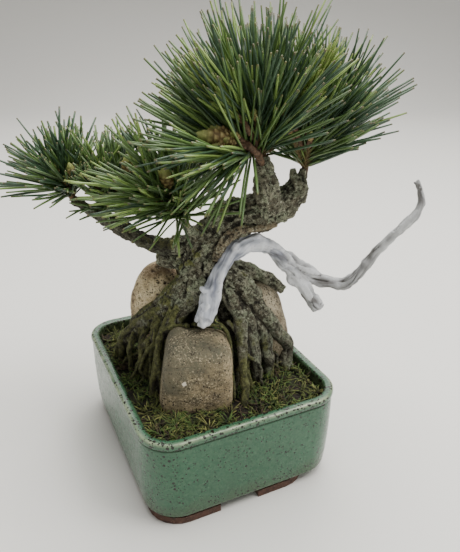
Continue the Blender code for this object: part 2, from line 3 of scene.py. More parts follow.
import bmesh
import bpy
import numpy as np
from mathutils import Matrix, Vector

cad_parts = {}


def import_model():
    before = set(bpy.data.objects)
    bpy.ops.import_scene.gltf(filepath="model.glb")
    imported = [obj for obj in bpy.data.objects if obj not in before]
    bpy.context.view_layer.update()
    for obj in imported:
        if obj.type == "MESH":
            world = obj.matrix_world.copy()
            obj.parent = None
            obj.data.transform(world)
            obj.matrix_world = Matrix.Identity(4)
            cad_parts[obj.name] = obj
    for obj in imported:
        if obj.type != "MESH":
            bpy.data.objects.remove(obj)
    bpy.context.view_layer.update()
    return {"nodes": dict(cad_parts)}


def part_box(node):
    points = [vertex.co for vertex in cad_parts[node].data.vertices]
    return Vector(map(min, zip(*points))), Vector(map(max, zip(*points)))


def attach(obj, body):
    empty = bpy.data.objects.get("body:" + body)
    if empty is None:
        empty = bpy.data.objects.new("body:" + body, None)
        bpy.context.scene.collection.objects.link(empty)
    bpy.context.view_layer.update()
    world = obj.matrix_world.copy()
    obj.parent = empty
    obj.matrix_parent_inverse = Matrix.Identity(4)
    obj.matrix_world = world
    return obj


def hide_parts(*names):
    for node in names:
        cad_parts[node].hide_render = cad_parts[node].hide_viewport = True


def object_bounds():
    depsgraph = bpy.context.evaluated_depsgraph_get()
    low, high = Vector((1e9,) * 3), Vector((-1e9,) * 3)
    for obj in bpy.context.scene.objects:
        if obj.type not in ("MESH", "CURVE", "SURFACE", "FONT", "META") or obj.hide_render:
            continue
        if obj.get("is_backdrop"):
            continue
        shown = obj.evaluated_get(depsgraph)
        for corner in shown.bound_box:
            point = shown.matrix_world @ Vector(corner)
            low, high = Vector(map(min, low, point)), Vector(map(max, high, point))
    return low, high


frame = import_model()


# The pot's body: a small rectangle with round corners, thrown in stoneware and dipped in a
# jade glaze. A pale painted highlight runs along the rim's outer edge, painted shade darkens the
# groove under it, and the glaze is peppered all over with iron specks. The two drain holes are
# cut through the floor.
MM = 0.001
POT_LOW, POT_HIGH = (np.array(corner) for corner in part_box("pot"))
POT_MIDDLE = (POT_LOW + POT_HIGH) / 2 * [1, 1, 0]
POT_TOP = POT_HIGH[2] / MM
POT_HALF = (55.0, 67.0)
POT_WALL = 5.3
FLOOR_TOP = 10.5
FOOT_HEIGHT = 4.5
DRAIN_RADIUS = 5.5
DRAIN_OFFSET = 23.0


def settled(points):
    """Millimetres from the pot's middle to metres in the frame."""
    return points * MM + POT_MIDDLE


def mesh_object(name, points, faces):
    """An object whose mesh has the points in metres and faces of three or four corners."""
    mesh = bpy.data.meshes.new(name)
    mesh.vertices.add(len(points))
    mesh.vertices.foreach_set("co", np.asarray(points, dtype=np.float32).ravel())
    mesh.loops.add(faces.size)
    mesh.loops.foreach_set("vertex_index", faces.astype(np.int32).ravel())
    mesh.polygons.add(len(faces))
    starts = np.arange(0, faces.size, faces.shape[1], dtype=np.int32)
    mesh.polygons.foreach_set("loop_start", starts)
    mesh.update(calc_edges=True)
    mesh.validate()
    mesh.shade_smooth()
    made = bpy.data.objects.new(name, mesh)
    bpy.context.scene.collection.objects.link(made)
    return made


def read(layer, key, width=3, kind=float):
    """The numbers that a mesh keeps for each of its parts, in rows of that width."""
    values = np.empty(len(layer) * width, dtype=kind)
    layer.foreach_get(key, values)
    return values.reshape(-1, width)


def paint(piece, name, values):
    """Keep a number at each vertex for the material to read."""
    layer = piece.data.attributes.new(name, "FLOAT", "POINT")
    layer.data.foreach_set("value", np.asarray(values, dtype=np.float32))


def keep_modified(piece):
    """Give a piece the mesh that its modifiers make of it."""
    bpy.context.view_layer.update()
    graph = bpy.context.evaluated_depsgraph_get()
    made = bpy.data.meshes.new_from_object(piece.evaluated_get(graph))
    piece.modifiers.clear()
    piece.data = made
    made.shade_smooth()


def tube_faces(rings, around):
    """The quads between neighbouring rings of points, each ring closed on itself, and a strip
    of quads across the first and the last ring that starts an eighth of the way round."""
    ring, step = np.meshgrid(np.arange(rings - 1) * around, np.arange(around), indexing="ij")
    after = (step + 1) % around
    quads = np.stack([ring + step, ring + after, ring + around + after, ring + around + step], axis=-1)
    step = np.arange(around // 2 - 1)
    lid = np.stack([step, step + 1, around - 2 - step, around - 1 - step], axis=-1)
    lid = (lid + around // 8) % around
    return np.concatenate([quads.reshape(-1, 4), lid[:, ::-1], lid + (rings - 1) * around])


def finish_piece(piece, material, slot, *nodes):
    """Give a piece its material, and let it stand for the solids it covers. The slot is not used."""
    piece.data.materials.append(material)
    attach(piece, "root")
    if nodes:
        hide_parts(*nodes)


def new_material(name, roughness):
    material = bpy.data.materials.new(name)
    material.use_nodes = True
    material.node_tree.nodes["Principled BSDF"].inputs["Roughness"].default_value = roughness
    return material, material.node_tree


def put(tree, kind, inputs, **settings):
    """Add a shader node; each input is a plain value or another node's output."""
    node = tree.nodes.new("ShaderNode" + kind)
    for key, value in settings.items():
        setattr(node, key, value)
    for key, value in inputs.items():
        if isinstance(value, bpy.types.NodeSocket):
            tree.links.new(value, node.inputs[key])
        else:
            node.inputs[key].default_value = value
    return node


def calc(tree, kind, *values):
    """One step of arithmetic on sockets and plain numbers."""
    return put(tree, "Math", dict(enumerate(values)), operation=kind).outputs[0]


def fade(tree, value, start, end):
    """From nought where the value is at the start to one at the end."""
    return put(tree, "MapRange", {"Value": value, "From Min": start, "From Max": end}).outputs[0]


def object_place(tree):
    return put(tree, "TexCoord", {}).outputs["Object"]


def painted(tree, name):
    return put(tree, "Attribute", {}, attribute_name=name).outputs["Fac"]


def noise(tree, scale, detail=4.0, roughness=0.55, place=None):
    return put(tree, "TexNoise", {"Vector": place or object_place(tree), "Scale": scale,
                                  "Detail": detail, "Roughness": roughness}).outputs["Fac"]


def look(tree, given):
    """A list stands for a mask or tone: a painted number's name, or a noise's scale, detail
    and roughness, then the stops of a ramp over it, where a plain number is a grey. Anything
    else is a socket, colour or number that is used as it is."""
    if not isinstance(given, list):
        return given
    source = [part for part in given if not isinstance(part, tuple)]
    stops = [part for part in given if isinstance(part, tuple)]
    factor = (painted if isinstance(source[0], str) else noise)(tree, *source)
    if not stops:
        return factor
    node = put(tree, "ValToRGB", {"Fac": factor})
    elements = node.color_ramp.elements
    while len(elements) < len(stops):
        elements.new(1.0)
    for element, (position, color) in zip(elements, stops):
        element.position = position
        element.color = (*color, 1.0) if isinstance(color, tuple) else (color, color, color, 1.0)
    return node.outputs["Color"]


def layered(tree, tone, *layers):
    """A tone under layers of colour, each given as the mask that lets it show and its colour."""
    tone = look(tree, tone)
    for mask, color in layers:
        first, second = ((*end, 1.0) if isinstance(end, tuple) else end for end in (tone, color))
        tone = put(tree, "Mix", {0: look(tree, mask), 6: first, 7: look(tree, second)},
                   data_type="RGBA").outputs[2]
    return tone


def surface(material, tone, relief, distance, strength=1.0, gloss=None):
    """Link a tone, the bump of a fine relief and, if one is given, a roughness that varies."""
    tree = material.node_tree
    shader = tree.nodes["Principled BSDF"].inputs
    bump = put(tree, "Bump", {"Height": look(tree, relief), "Distance": distance,
                              "Strength": strength})
    tree.links.new(bump.outputs["Normal"], shader["Normal"])
    tree.links.new(look(tree, tone), shader["Base Color"])
    if gloss:
        tree.links.new(look(tree, gloss), shader["Roughness"])
    return material


def speckle_group():
    """Scattered round specks: cells of a size, of which a share holds a speck of a width."""
    group = bpy.data.node_groups.new("scattered_specks", "ShaderNodeTree")
    for name in ("Scale", "Share", "Width"):
        group.interface.new_socket(name, in_out="INPUT", socket_type="NodeSocketFloat")
    group.interface.new_socket("Mask", in_out="OUTPUT", socket_type="NodeSocketFloat")
    given = group.nodes.new("NodeGroupInput").outputs
    result = group.nodes.new("NodeGroupOutput")
    cell = put(group, "TexVoronoi", {"Vector": object_place(group), "Scale": given["Scale"]}).outputs
    chance = put(group, "SeparateColor", {"Color": cell["Color"]}).outputs
    chosen = calc(group, "LESS_THAN", chance["Red"], given["Share"])
    reach = calc(group, "MULTIPLY", given["Width"], chance["Green"])
    near = calc(group, "LESS_THAN", cell["Distance"], reach)
    group.links.new(calc(group, "MULTIPLY", chosen, near), result.inputs["Mask"])
    return group


SPECKS = speckle_group()


def specks(tree, scale, share, width):
    return put(tree, "Group", {"Scale": scale, "Share": share, "Width": width},
               node_tree=SPECKS).outputs["Mask"]


def corner_radius(height):
    """The radius of the pot's corners, which grows from the rim to the foot."""
    return 17.9 + 3.0 * (1 - height / POT_TOP)


def pot_outline(inset, height, around=192):
    """Rounded rectangles, one for each inset and height: half a straight side, a quarter turn
    and half the next side, four times over."""
    corner = np.maximum(corner_radius(height) - inset, 1.5)[:, None]
    straight_x, straight_y = (half - inset[:, None] - corner for half in POT_HALF)
    turn = (np.arange(around) + 0.5) / around * 4
    quarter = np.floor(turn)
    part = turn - quarter
    angle = (quarter + np.clip((part - 0.2) / 0.6, 0, 1)) * np.pi / 2
    sign_x = np.where((quarter == 0) | (quarter == 3), 1, -1)
    sign_y = np.where(quarter < 2, 1, -1)
    early, late = np.clip(part / 0.2, 0, 1), np.clip((1 - part) / 0.2, 0, 1)
    even = quarter % 2 == 0
    return np.stack([sign_x * straight_x * np.where(even, late, early) + corner * np.cos(angle),
                     sign_y * straight_y * np.where(even, early, late) + corner * np.sin(angle),
                     np.broadcast_to(height[:, None], (len(inset), around))], axis=-1)


def pot_profile():
    """Inset and height from the middle of the foot face, up the outside, over the rolled rim
    and down the inside: straight runs joined by quarter circles."""
    turn = np.linspace(0, np.pi / 2, 9)
    foot, top, wall = FOOT_HEIGHT, POT_TOP, POT_WALL
    runs = [[(30.0, foot), (12.0, foot), (4.4, foot)],
            [(1.5 + 2.4 * (1 - math.sin(a)), foot + 2.4 * (1 - math.cos(a))) for a in turn],
            [(0.9, foot + 9), (0.5, foot + 18), (0.35, foot + 28), (0.45, top - 9),
             (0.6, top - 5.2), (0.68, top - 4.6), (0.95, top - 4.3), (1.0, top - 4.1),
             (0.9, top - 3.9), (0.45, top - 3.65), (0.15, top - 3.2), (0.0, top - 2.3),
             (0.02, top - 1.7)],
            [(0.1 + 1.5 * (1 - math.cos(a)), top - 1.3 + 1.3 * math.sin(a)) for a in turn],
            [(2.5, top + 0.0), (3.3, top - 0.08)],
            [(wall - 1.9 + 1.9 * math.sin(a), top - 0.1 - 1.9 * (1 - math.cos(a))) for a in turn],
            [(wall + 0.2, top - 4), (wall + 0.3, top - 6), (wall + 0.5, 20.0),
             (wall + 2.5, 11.5), (wall + 6.0, FLOOR_TOP), (30.0, FLOOR_TOP)]]
    return np.array([point for run in runs for point in run]).T


def pot_inset(points):
    """How far each point lies inside the pot's outline at its height: the signed distance to
    a rounded rectangle."""
    corner = corner_radius(points[:, 2])
    over = np.abs(points[:, :2]) - POT_HALF + corner[:, None]
    return corner - np.linalg.norm(np.maximum(over, 0), axis=1) - np.minimum(over.max(axis=1), 0)


outline = pot_outline(*pot_profile())
pot = mesh_object("pot_body", settled(outline.reshape(-1, 3)), tube_faces(*outline.shape[:2]))
for side in (-DRAIN_OFFSET, DRAIN_OFFSET):
    bpy.ops.mesh.primitive_cylinder_add(vertices=32, radius=DRAIN_RADIUS * MM, depth=20 * MM)
    drill = bpy.context.active_object
    drill.location = settled(np.array([0, side, 8.0]))
    pot.modifiers.new("drain", "BOOLEAN").object = drill
    keep_modified(pot)
    bpy.data.objects.remove(drill, do_unlink=True)
pot.data.set_sharp_from_angle(angle=math.radians(50))
spots = (read(pot.data.vertices, "co") - POT_MIDDLE) / MM
inset = pot_inset(spots)
below = POT_TOP - spots[:, 2]
# Painted highlight: a pale band along the rim's outer top edge.
paint(pot, "rim_highlight", np.exp(-((inset - 0.7) / 0.9) ** 2 - (below / 1.5) ** 2))
# Painted shade: a near-black line in the groove under the rim band.
paint(pot, "groove", np.exp(-((below - 4.1) / 0.42) ** 2) * (inset < 3))
paint(pot, "inside", np.clip((inset - 3.4) / 2.2, 0, 1) * (below < 43))


def glaze_material():
    """Jade glaze: cloudy, with a pale painted highlight on the rim's outer edge, olive where it
    thins at the foot, near-black painted shade in the groove, brown on the inner wall, peppered
    with iron specks that crowd together on the rim."""
    material, tree = new_material("jade_glaze", 0.22)
    height = put(tree, "SeparateXYZ", {"Vector": object_place(tree)}).outputs["Z"]
    wobble = calc(tree, "MULTIPLY_ADD", noise(tree, 90.0, 3.0), 0.016, height)
    foot = calc(tree, "MULTIPLY", fade(tree, wobble, 0.024, 0.012), 0.75)
    # The painted highlight on the rim's edge, broken up by noise.
    edge = calc(tree, "MULTIPLY", painted(tree, "rim_highlight"),
                look(tree, [160.0, 4.0, (0.35, 0.35), (0.6, 1.0)]))
    inner_wall = [240.0, 4.0, 0.65, (0.38, (0.026, 0.036, 0.016)), (0.62, (0.075, 0.098, 0.052))]
    # Painted shade in the groove under the rim.
    groove = calc(tree, "MULTIPLY", painted(tree, "groove"), 0.92)
    crowd = calc(tree, "MULTIPLY", specks(tree, 620.0, 0.62, 0.62), fade(tree, height, 0.049, 0.0497))
    iron = calc(tree, "MAXIMUM", specks(tree, 520.0, 0.36, 0.46), specks(tree, 1000.0, 0.34, 0.5))
    iron = calc(tree, "MULTIPLY", calc(tree, "MAXIMUM", iron, crowd), 0.97)
    tone = layered(tree, (0.024, 0.09, 0.046),
                   ([30.0, 5.0, 0.6, (0.34, 0.0), (0.66, 1.0)], (0.03, 0.112, 0.058)),
                   ([700.0, 3.0, 0.6, (0.4, 0.28), (0.6, 0.0)], (0.105, 0.2, 0.112)),
                   (foot, (0.058, 0.082, 0.038)), (edge, (0.33, 0.385, 0.25)),
                   (["inside"], inner_wall), (groove, (0.03, 0.024, 0.012)),
                   (iron, (0.012, 0.011, 0.008)))
    for key, value in (("Specular IOR Level", 0.34), ("Coat Weight", 0.12), ("Coat Roughness", 0.06)):
        tree.nodes["Principled BSDF"].inputs[key].default_value = value
    return surface(material, tone, [170.0, 4.0], 0.0003, 0.5, [260.0, 3.0, (0.3, 0.17), (0.7, 0.33)])


finish_piece(pot, glaze_material(), "jade_glaze", "pot")


# The feet: four low corner pieces of the same dark red-brown clay, left bare and slightly
# sandy where the pot meets the table.
bare_clay, clay_tree = new_material("bare_clay", 0.85)
surface(bare_clay, layered(
    clay_tree, (0.042, 0.02, 0.014), ([300.0, (0.35, 0.0), (0.65, 1.0)], (0.1, 0.046, 0.03)),
    (specks(clay_tree, 1500.0, 0.3, 0.5), (0.2, 0.11, 0.075))), [1400.0, 2.0], 0.0002, 0.8)
for corner in ("front_left", "front_right", "back_left", "back_right"):
    foot = frame["nodes"]["foot_" + corner]
    foot.data.materials.clear()
    foot.data.materials.append(bare_clay)


# The places on the tree are given as across, back and up in millimetres, seen from the
# tree's own front, which is turned from the pot's short side.
TREE_TURN = math.radians(24.95)
GROUND = 49.0


def turned(steps):
    """Turn rows of (across, back, up) into the pot's axes, still in millimetres."""
    across, back, up = np.asarray(steps, dtype=float).T
    cos, sin = math.cos(TREE_TURN), math.sin(TREE_TURN)
    return np.stack([across * cos + back * sin, back * cos - across * sin, up], axis=-1)


def unit(rows):
    return rows / np.linalg.norm(rows, axis=-1, keepdims=True)


def scrambled(cube, seed):
    """A hashed whole number for each lattice cube."""
    key = cube @ np.array([73856093, 19349663, 83492791]) + seed
    return ((key ^ (key >> 13)) * 1274126177) & 0x7FFFFFFF


def grain(points, size, seed=0):
    """Smooth noise between -1 and 1: a hashed number at every corner of a lattice of that
    size, blended across each cell by 3t^2 - 2t^3."""
    spot = points / size + seed * 7.31
    cell = np.floor(spot).astype(np.int64)
    part = spot - cell
    part = part * part * (3 - 2 * part)
    total = np.zeros(points.shape[:-1])
    for corner in np.ndindex(2, 2, 2):
        key = scrambled(cell + corner, seed * 1013)
        value = ((key ^ (key >> 15)) % 65536) / 32768.0 - 1.0
        total += value * np.prod(np.where(corner, part, 1 - part), axis=-1)
    return total


def cells(points, size, seed=0):
    """Cracked cells: the gap between the nearest and the second nearest of a set of points
    scattered one to a lattice cube, and a number from 0 to 1 for the nearest one's cell."""
    spot = points / size + seed * 3.17
    base = np.floor(spot).astype(np.int64)
    first, second = np.full(len(points), 9.0), np.full(len(points), 9.0)
    tag = np.zeros(len(points))
    for offset in np.ndindex(3, 3, 3):
        cube = base + offset - 1
        key = scrambled(cube, seed * 911)
        jitter = np.stack([(key >> shift) % 1024 / 1024.0 for shift in (0, 7, 14)], axis=-1)
        far = np.linalg.norm(cube + jitter - spot, axis=-1)
        closer = far < first
        second = np.where(closer, first, np.minimum(second, far))
        tag = np.where(closer, (key >> 5) % 997 / 997.0, tag)
        first = np.minimum(first, far)
    return second - first, tag


# The rocks: three stones that the roots clasp. The front one is a squared brown block with an
# olive stain and a white chip, the left one a tan pitted egg, the right one a pale speckled
# stone. Each has a centre, half sizes, the power that squares it up, a turn and a lean.
ROCKS = {"rock_front": ((-2.0, -32.0, 65.0), (19.0, 15.5, 21.0), 5.6, 6.0, -3.0),
         "rock_left": ((-26.0, 13.0, 79.0), (16.5, 16.0, 28.0), 2.1, 0.0, 4.0),
         "rock_right": ((35.0, 8.0, 72.0), (14.0, 17.0, 26.5), 2.4, 0.0, -12.0)}
CHIP_WAY = (-0.41, -0.9, 0.13)


def about_z(angle):
    return np.array([[math.cos(angle), -math.sin(angle), 0], [math.sin(angle), math.cos(angle), 0],
                     [0, 0, 1]])


def rock_frame(turn, lean):
    """Rows are a rock's own axes, turned about the upright and then leant over."""
    tilt = math.radians(lean)
    about_y = np.array([[math.cos(tilt), 0, math.sin(tilt)], [0, 1, 0],
                        [-math.sin(tilt), 0, math.cos(tilt)]])
    return (about_z(math.radians(turn) - TREE_TURN) @ about_y).T


def push_out(points, cover):
    """Move points that lie deep in a rock out to its skin and their cover beyond it."""
    for centre, half, power, turn, lean in ROCKS.values():
        axes = rock_frame(turn, lean)
        middle = turned([centre])[0]
        local = (points - middle) @ axes.T
        scale = np.sum((np.abs(local) / half) ** power, axis=-1) ** (1 / power)
        wanted = 1 + cover / np.mean(half)
        local *= np.where(scale < wanted, wanted / np.maximum(scale, 0.05), 1.0)[:, None]
        points = local @ axes + middle
    return points


def rock_piece(name, node, seed, roughness, pits, slab, taper=0.0, slope=0.0):
    """A ball squared up by a power and lumped as the solid is, then weathered: broad lumps,
    facets from cracked cells, pits and fine grain along the way out. A taper draws its left
    side in towards the top, and a slope lowers the right of the top by that many mm."""
    centre, half, power, turn, lean = ROCKS[node]
    bpy.ops.mesh.primitive_ico_sphere_add(subdivisions=7, radius=1.0)
    ball = bpy.context.active_object
    way = unit(read(ball.data.vertices, "co"))
    corners = read(ball.data.loops, "vertex_index", 1, np.int32).reshape(-1, 3)
    bpy.data.objects.remove(ball, do_unlink=True)
    reach = np.sum((np.abs(way) / half) ** power, axis=-1) ** (-1 / power)
    spot = way * reach[:, None]
    lump = 0.8 * grain(spot, 14.0, seed) + 0.4 * grain(spot, 6.0, seed + 1)
    gap, tag = cells(spot, slab, seed)
    chip = (tag - 0.5) * 0.6 * np.clip(gap * 3, 0, 1)
    fine = roughness * (0.16 * grain(spot, 2.2, seed + 2) + 0.12 * grain(spot, 1.1, seed + 3))
    hole = np.clip(grain(spot, 2.1, seed + 4) - (1 - pits), 0, 1) * 2.4
    spot = way * (reach + lump + chip + fine - hole)[:, None]
    rise = np.clip((spot[:, 2] / half[2] + 0.6) / 1.6, 0, 1)
    spot[:, 2] -= slope * rise ** 2 * np.clip(0.5 + 0.7 * spot[:, 0] / half[0], 0, 1)
    spot[:, 0] *= np.where(spot[:, 0] < 0, 1.0 + taper * (0.25 - 1.25 * rise), 1.0)
    points = spot @ rock_frame(turn, lean) + turned([centre])[0]
    points[:, 2] = np.maximum(points[:, 2], GROUND - 3.0)
    rock = mesh_object(name, settled(points), corners)
    # Painted shade: the pits and the cracks between facets are darkened.
    paint(rock, "pit", np.clip(hole * 1.5 + (0.06 - gap) * 3, 0, 1))
    flaw = np.abs((way - CHIP_WAY) @ [[1, 0, 0.3], [0, 0, 0], [-0.3, 0, 1]]) / [0.08, 1, 0.105]
    paint(rock, "chip", (way[:, 1] < 0) * (node == "rock_front") * (flaw.sum(axis=1) < 1))
    return rock


def rock_material(name, tones, stain, stain_from, grit, grit_share, layers, lean=0.0):
    """Mottled stone: three tones in soft blotches, a stain that creeps down from the top and
    further on the left where it leans, fine grit of another colour, faint level layers, and
    pits and cracks darkened as painted shade."""
    material, tree = new_material(name, 0.88)
    dark, mid, pale = tones
    place = object_place(tree)
    axes = put(tree, "SeparateXYZ", {"Vector": place}).outputs
    height = calc(tree, "MULTIPLY_ADD", axes["X"], -lean, axes["Z"])
    creep = calc(tree, "MULTIPLY_ADD", noise(tree, 75.0, 5.0, 0.6), 0.05, height)
    top = calc(tree, "MULTIPLY", fade(tree, creep, stain_from, stain_from + 0.022), 0.82)
    flat = put(tree, "Mapping", {"Vector": place, "Scale": (60.0, 60.0, 1100.0)}).outputs[0]
    bright = calc(tree, "MULTIPLY", look(tree, [950.0, 4.0, 0.8, (0.53, 0.0), (0.63, 0.8)]),
                  look(tree, [85.0, 3.0, (0.42, 0.15), (0.58, 1.0)]))
    tone = layered(tree, [70.0, 7.0, 0.68, (0.36, dark), (0.5, mid), (0.64, pale)],
                   ([1.0, 3.0, 0.6, flat, (0.36, layers), (0.5, 0.0)], dark), (top, stain),
                   ([1100.0, 4.0, 0.8, (0.38, 0.8), (0.5, 0.0)], dark), (bright, grit),
                   (specks(tree, 1150.0, grit_share, 0.62), (0.05, 0.038, 0.026)),
                   (["pit"], (0.048, 0.032, 0.02)), (["chip"], (0.9, 0.82, 0.68)))
    return surface(material, tone, [1100.0, 5.0, 0.75], 0.0005, 0.9)


for side, shape, stone_look in (
        ("front", (1, 0.9, 0.1, 13.0, 0.3, 3.6),
         ("brown_stone", ((0.13, 0.104, 0.065), (0.39, 0.308, 0.175), (0.64, 0.5, 0.29)),
          (0.098, 0.104, 0.072), 0.102, (0.76, 0.64, 0.43), 0.3, 0.6, 0.8)),
        ("left", (5, 1.0, 0.52, 9.0),
         ("tan_stone", ((0.165, 0.108, 0.054), (0.7, 0.575, 0.345), (0.83, 0.73, 0.49)),
          (0.24, 0.16, 0.088), 0.119, (0.6, 0.5, 0.34), 0.3, 0.1)),
        ("right", (9, 1.3, 0.25, 8.0),
         ("pale_stone", ((0.15, 0.115, 0.075), (0.36, 0.3, 0.2), (0.52, 0.45, 0.32)),
          (0.3, 0.27, 0.18), 0.11, (0.6, 0.54, 0.4), 0.55, 0.0))):
    finish_piece(rock_piece("stone_" + side, "rock_" + side, *shape), rock_material(*stone_look),
                 "stone", "rock_" + side)


# The living wood: trunk, exposed roots and boughs of an old pine, grown into one another.
# The bark is dark and flaky in plates on the trunk, ridged along the roots. Each limb is a
# row of places, given as across, back, up and the limb's radius.
TRUNK = [(4.5, 3, 90, 9), (3, 4, 100, 11.5), (2, 4, 110, 11), (3.5, 4, 121, 11), (11.8, 3.5, 131.5, 11.5),
         (23.5, 3.5, 138.7, 10.2), (35.3, 4, 141.6, 9), (44.6, 5, 145.3, 8.4), (50.6, 6, 151, 6.4),
         (52.2, 6, 157, 4.2)]
ROOTS = [[(0, -2, 111, 8), (-10.8, -6, 99, 6.6), (-22.5, -6, 85, 5.6), (-35, 0, 72, 4.6),
          (-46, 6, 60, 3.8), (-52, 11, 48, 3.4)],
         [(0, -6, 106, 6), (-7.5, -13, 93, 4.2), (-15.5, -18, 79, 3), (-22, -25, 63, 2.4),
          (-26, -32, 48, 2)],
         [(-4, -4, 104, 5.5), (-13, -8, 91, 3.8), (-22, -11, 78, 2.8), (-29, -13, 63, 2.2),
          (-32, -17, 48, 1.9)],
         [(6, 2, 109, 8.5), (20.9, -3, 101, 7.5), (31, -6, 89, 4.8), (41, -4, 74, 3.6),
          (48.5, -1, 60, 3.9), (49, -6, 48, 4.2)],
         [(12, -4, 104, 5), (20, -15, 88, 3.2), (22.5, -25, 73, 2.3), (23.7, -35, 59, 2),
          (23.9, -41, 48, 1.8)],
         [(12, -3, 102, 5), (25, -12, 85, 3.6), (30, -17, 67, 2.7), (32, -20, 48, 2.4)],
         [(16, -1, 100, 5.4), (33, -9, 79, 3.8), (38, -12, 62, 2.9), (39, -14, 48, 2.6)],
         [(6, 8, 108, 7), (18, 20, 94, 5.4), (27, 29, 76, 4.2), (29, 32, 60, 3.4), (31, 33, 48, 3.2)],
         [(0, 9, 106, 6.5), (0, 22, 92, 5), (2, 31, 74, 3.8), (3, 36, 48, 3.2)],
         [(-3, 8, 106, 6.5), (-14, 24, 94, 4.8), (-22, 33, 78, 3.8), (-28, 37, 62, 3.2), (-31, 40, 48, 3)],
         [(10, 6, 104, 5), (12, 20, 88, 3.6), (15, 27, 68, 2.8), (17, 31, 48, 2.4)],
         [(-6, 4, 104, 5), (-9, 8, 88, 4), (-8, 3, 68, 3.4), (-10, 4, 48, 3.2)],
         [(10, 2, 100, 5), (13, 1, 84, 4.4), (15, -1, 66, 3.8), (16, -3, 48, 3.6)]]
STUBS = [[(8, 4, 111, 5.5), (24.5, 7, 105.5, 4.4), (36, 8, 100, 3.6), (47, 9, 92, 2.6)],
         [(-2, 5, 112, 6.5), (-14.9, 8, 111, 4.6), (-24.7, 10, 111.5, 3.5)]]
BOUGH_LEFT = [(-4, 4, 124, 5.6), (-12.6, 5, 121.4, 4.6), (-22.1, 6, 120.6, 4.3), (-32.9, 7, 124.2, 4.4),
              (-43.6, 8, 130.8, 3.9), (-53.6, 9, 136.8, 3.4), (-61.5, 10, 141, 2.8),
              (-68.3, 11, 145.2, 2.3)]
SPUR = [(-50.5, 8, 135, 2.6), (-53.5, 4, 139, 2.3), (-55, 3, 142.5, 1.9)]
LEADER = [(37, 1, 142, 7), (36.6, -6, 149, 6.6), (35, -8, 157, 6), (33.4, -7, 166.5, 5),
          (32.4, -7, 172, 3.2)]
FORKS = [[(51.6, 6, 155.5, 3), (49.8, 5, 159, 2.2), (49, 5, 163.5, 1.7)],
         [(52.6, 6, 155.5, 3.4), (54.2, 6.5, 159, 2.5), (55.2, 7, 163, 1.9)]]
SHOOT_MIDDLE = [(1.5, 0, 127, 2.6), (-5.5, -11, 137, 2), (-7.5, -14, 146, 1.8)]
CORE = [(2, 2, 108, 7), (1, -3, 96, 6), (0, -7, 82, 5), (-1, -8, 66, 4.5), (-1, -8, 48, 4.5)]
RIDGES = [[(-1, -7, 108, 2.8), (-12, -11, 98, 2.6), (-24, -9, 88, 2.4), (-37, -4, 77, 2),
           (-46, 1, 66, 1.7), (-50, 3, 48, 1.5)],
          [(-4, -9, 104, 2.6), (-12, -16, 91, 2.4), (-18, -22, 79, 2), (-23, -28, 66, 1.8),
           (-26, -33, 48, 1.5)],
          [(4, -8, 106, 3), (14, -10, 97, 2.8), (23, -15, 86, 2.4), (29, -18, 72, 2), (31, -22, 48, 1.6)],
          [(-2, 3, 118, 3), (-6, -2, 110, 2.8), (-14, -4, 102, 2.6), (-24, -3, 91, 2.4), (-33, 2, 81, 2),
           (-40, 8, 71, 1.8), (-45, 14, 48, 1.5)],
          [(6, -4, 128, 3.4), (1, -6, 118, 3.2), (-2, -7, 108, 3), (-6, -10, 98, 2.4)],
          [(18, -2, 132, 3.6), (9, -4, 124, 3.4), (5, -7, 114, 3), (10, -7, 104, 2.6)],
          [(-22, -10, 85, 2), (-25.5, -15, 76, 1.8), (-26, -18, 66, 1.6), (-28, -20, 48, 1.5)],
          [(-30, -6, 79, 2), (-33, -12, 71, 1.7), (-34, -14, 62, 1.5), (-36, -15, 48, 1.4)],
          [(-15, -13, 92, 2.1), (-19, -18, 82, 1.7), (-21, -19, 70, 1.5), (-22, -23, 48, 1.4)],
          [(-38, -2, 72, 1.9), (-40, -7, 64, 1.6), (-42, -8, 48, 1.5)],
          [(22, -14, 88, 1.9), (25, -19, 77, 1.7), (26, -22, 64, 1.6), (28, -27, 48, 1.5)]]
CALLUS = [(8.5, -8, 118, 1.6), (11.2, -9.4, 124.5, 2.5), (15, -9.4, 131, 2.8), (22, -8, 134.5, 2.3),
          (31, -6.6, 135, 1.8), (41, -4.5, 136.5, 1.2)]
# How far apart the runs of neighbouring limbs start, and where the roots piece ends.
LIMB_RUN = 200.0
ROOTS_TOP = 85.0


def limb_line(steps, sway=0.0, seed=0):
    """Centres and radii along a smooth curve through the stated places, about one a mm: each
    stretch is the cubic that leaves one place parallel to the chord of its two neighbours.
    Sway wanders the curve and swells it with smooth noise, fading at its start."""
    steps = np.array(steps, dtype=float)
    places, radii = turned(steps[:, :3]), steps[:, 3]
    lengths = np.linalg.norm(np.diff(places, axis=0), axis=-1)
    counts = np.maximum(1, np.round(lengths)).astype(int)
    index = np.repeat(np.arange(len(counts)), counts)
    t = np.concatenate([np.arange(count) / count for count in counts])
    index, t = np.append(index, len(counts) - 1), np.append(t, 1.0)
    before, start = places[np.maximum(index - 1, 0)], places[index]
    end, after = places[index + 1], places[np.minimum(index + 2, len(places) - 1)]
    t = t[:, None]
    centres = 0.5 * (2 * start + (end - before) * t
                     + (2 * before - 5 * start + 4 * end - after) * t ** 2
                     + (3 * start - before - 3 * end + after) * t ** 3)
    widths = radii[index] + (radii[index + 1] - radii[index]) * t[:, 0]
    if sway:
        run = np.arange(len(centres))[:, None] * [1.0, 0, 0] + [0, 17.0 * seed, 0]
        fade_in = np.clip(np.arange(len(centres)) / 12, 0, 1)[:, None]
        wander = np.stack([grain(run, 9.0, seed + k) + 0.5 * grain(run, 4.5, seed + 9 + k)
                           for k in range(3)], axis=-1)
        centres = centres + wander * sway * fade_in * [1, 1, 0.5]
        widths = widths * (1 + 0.2 * grain(run, 5.0, seed + 20) + 0.1 * grain(run, 2.5, seed + 30))
    return centres, widths


def root_line(steps, sway, seed, cover):
    """A root's curve, pushed out of the stones so that only its underside is bedded in."""
    centres, widths = limb_line(steps, sway, seed)
    return push_out(centres, cover), widths


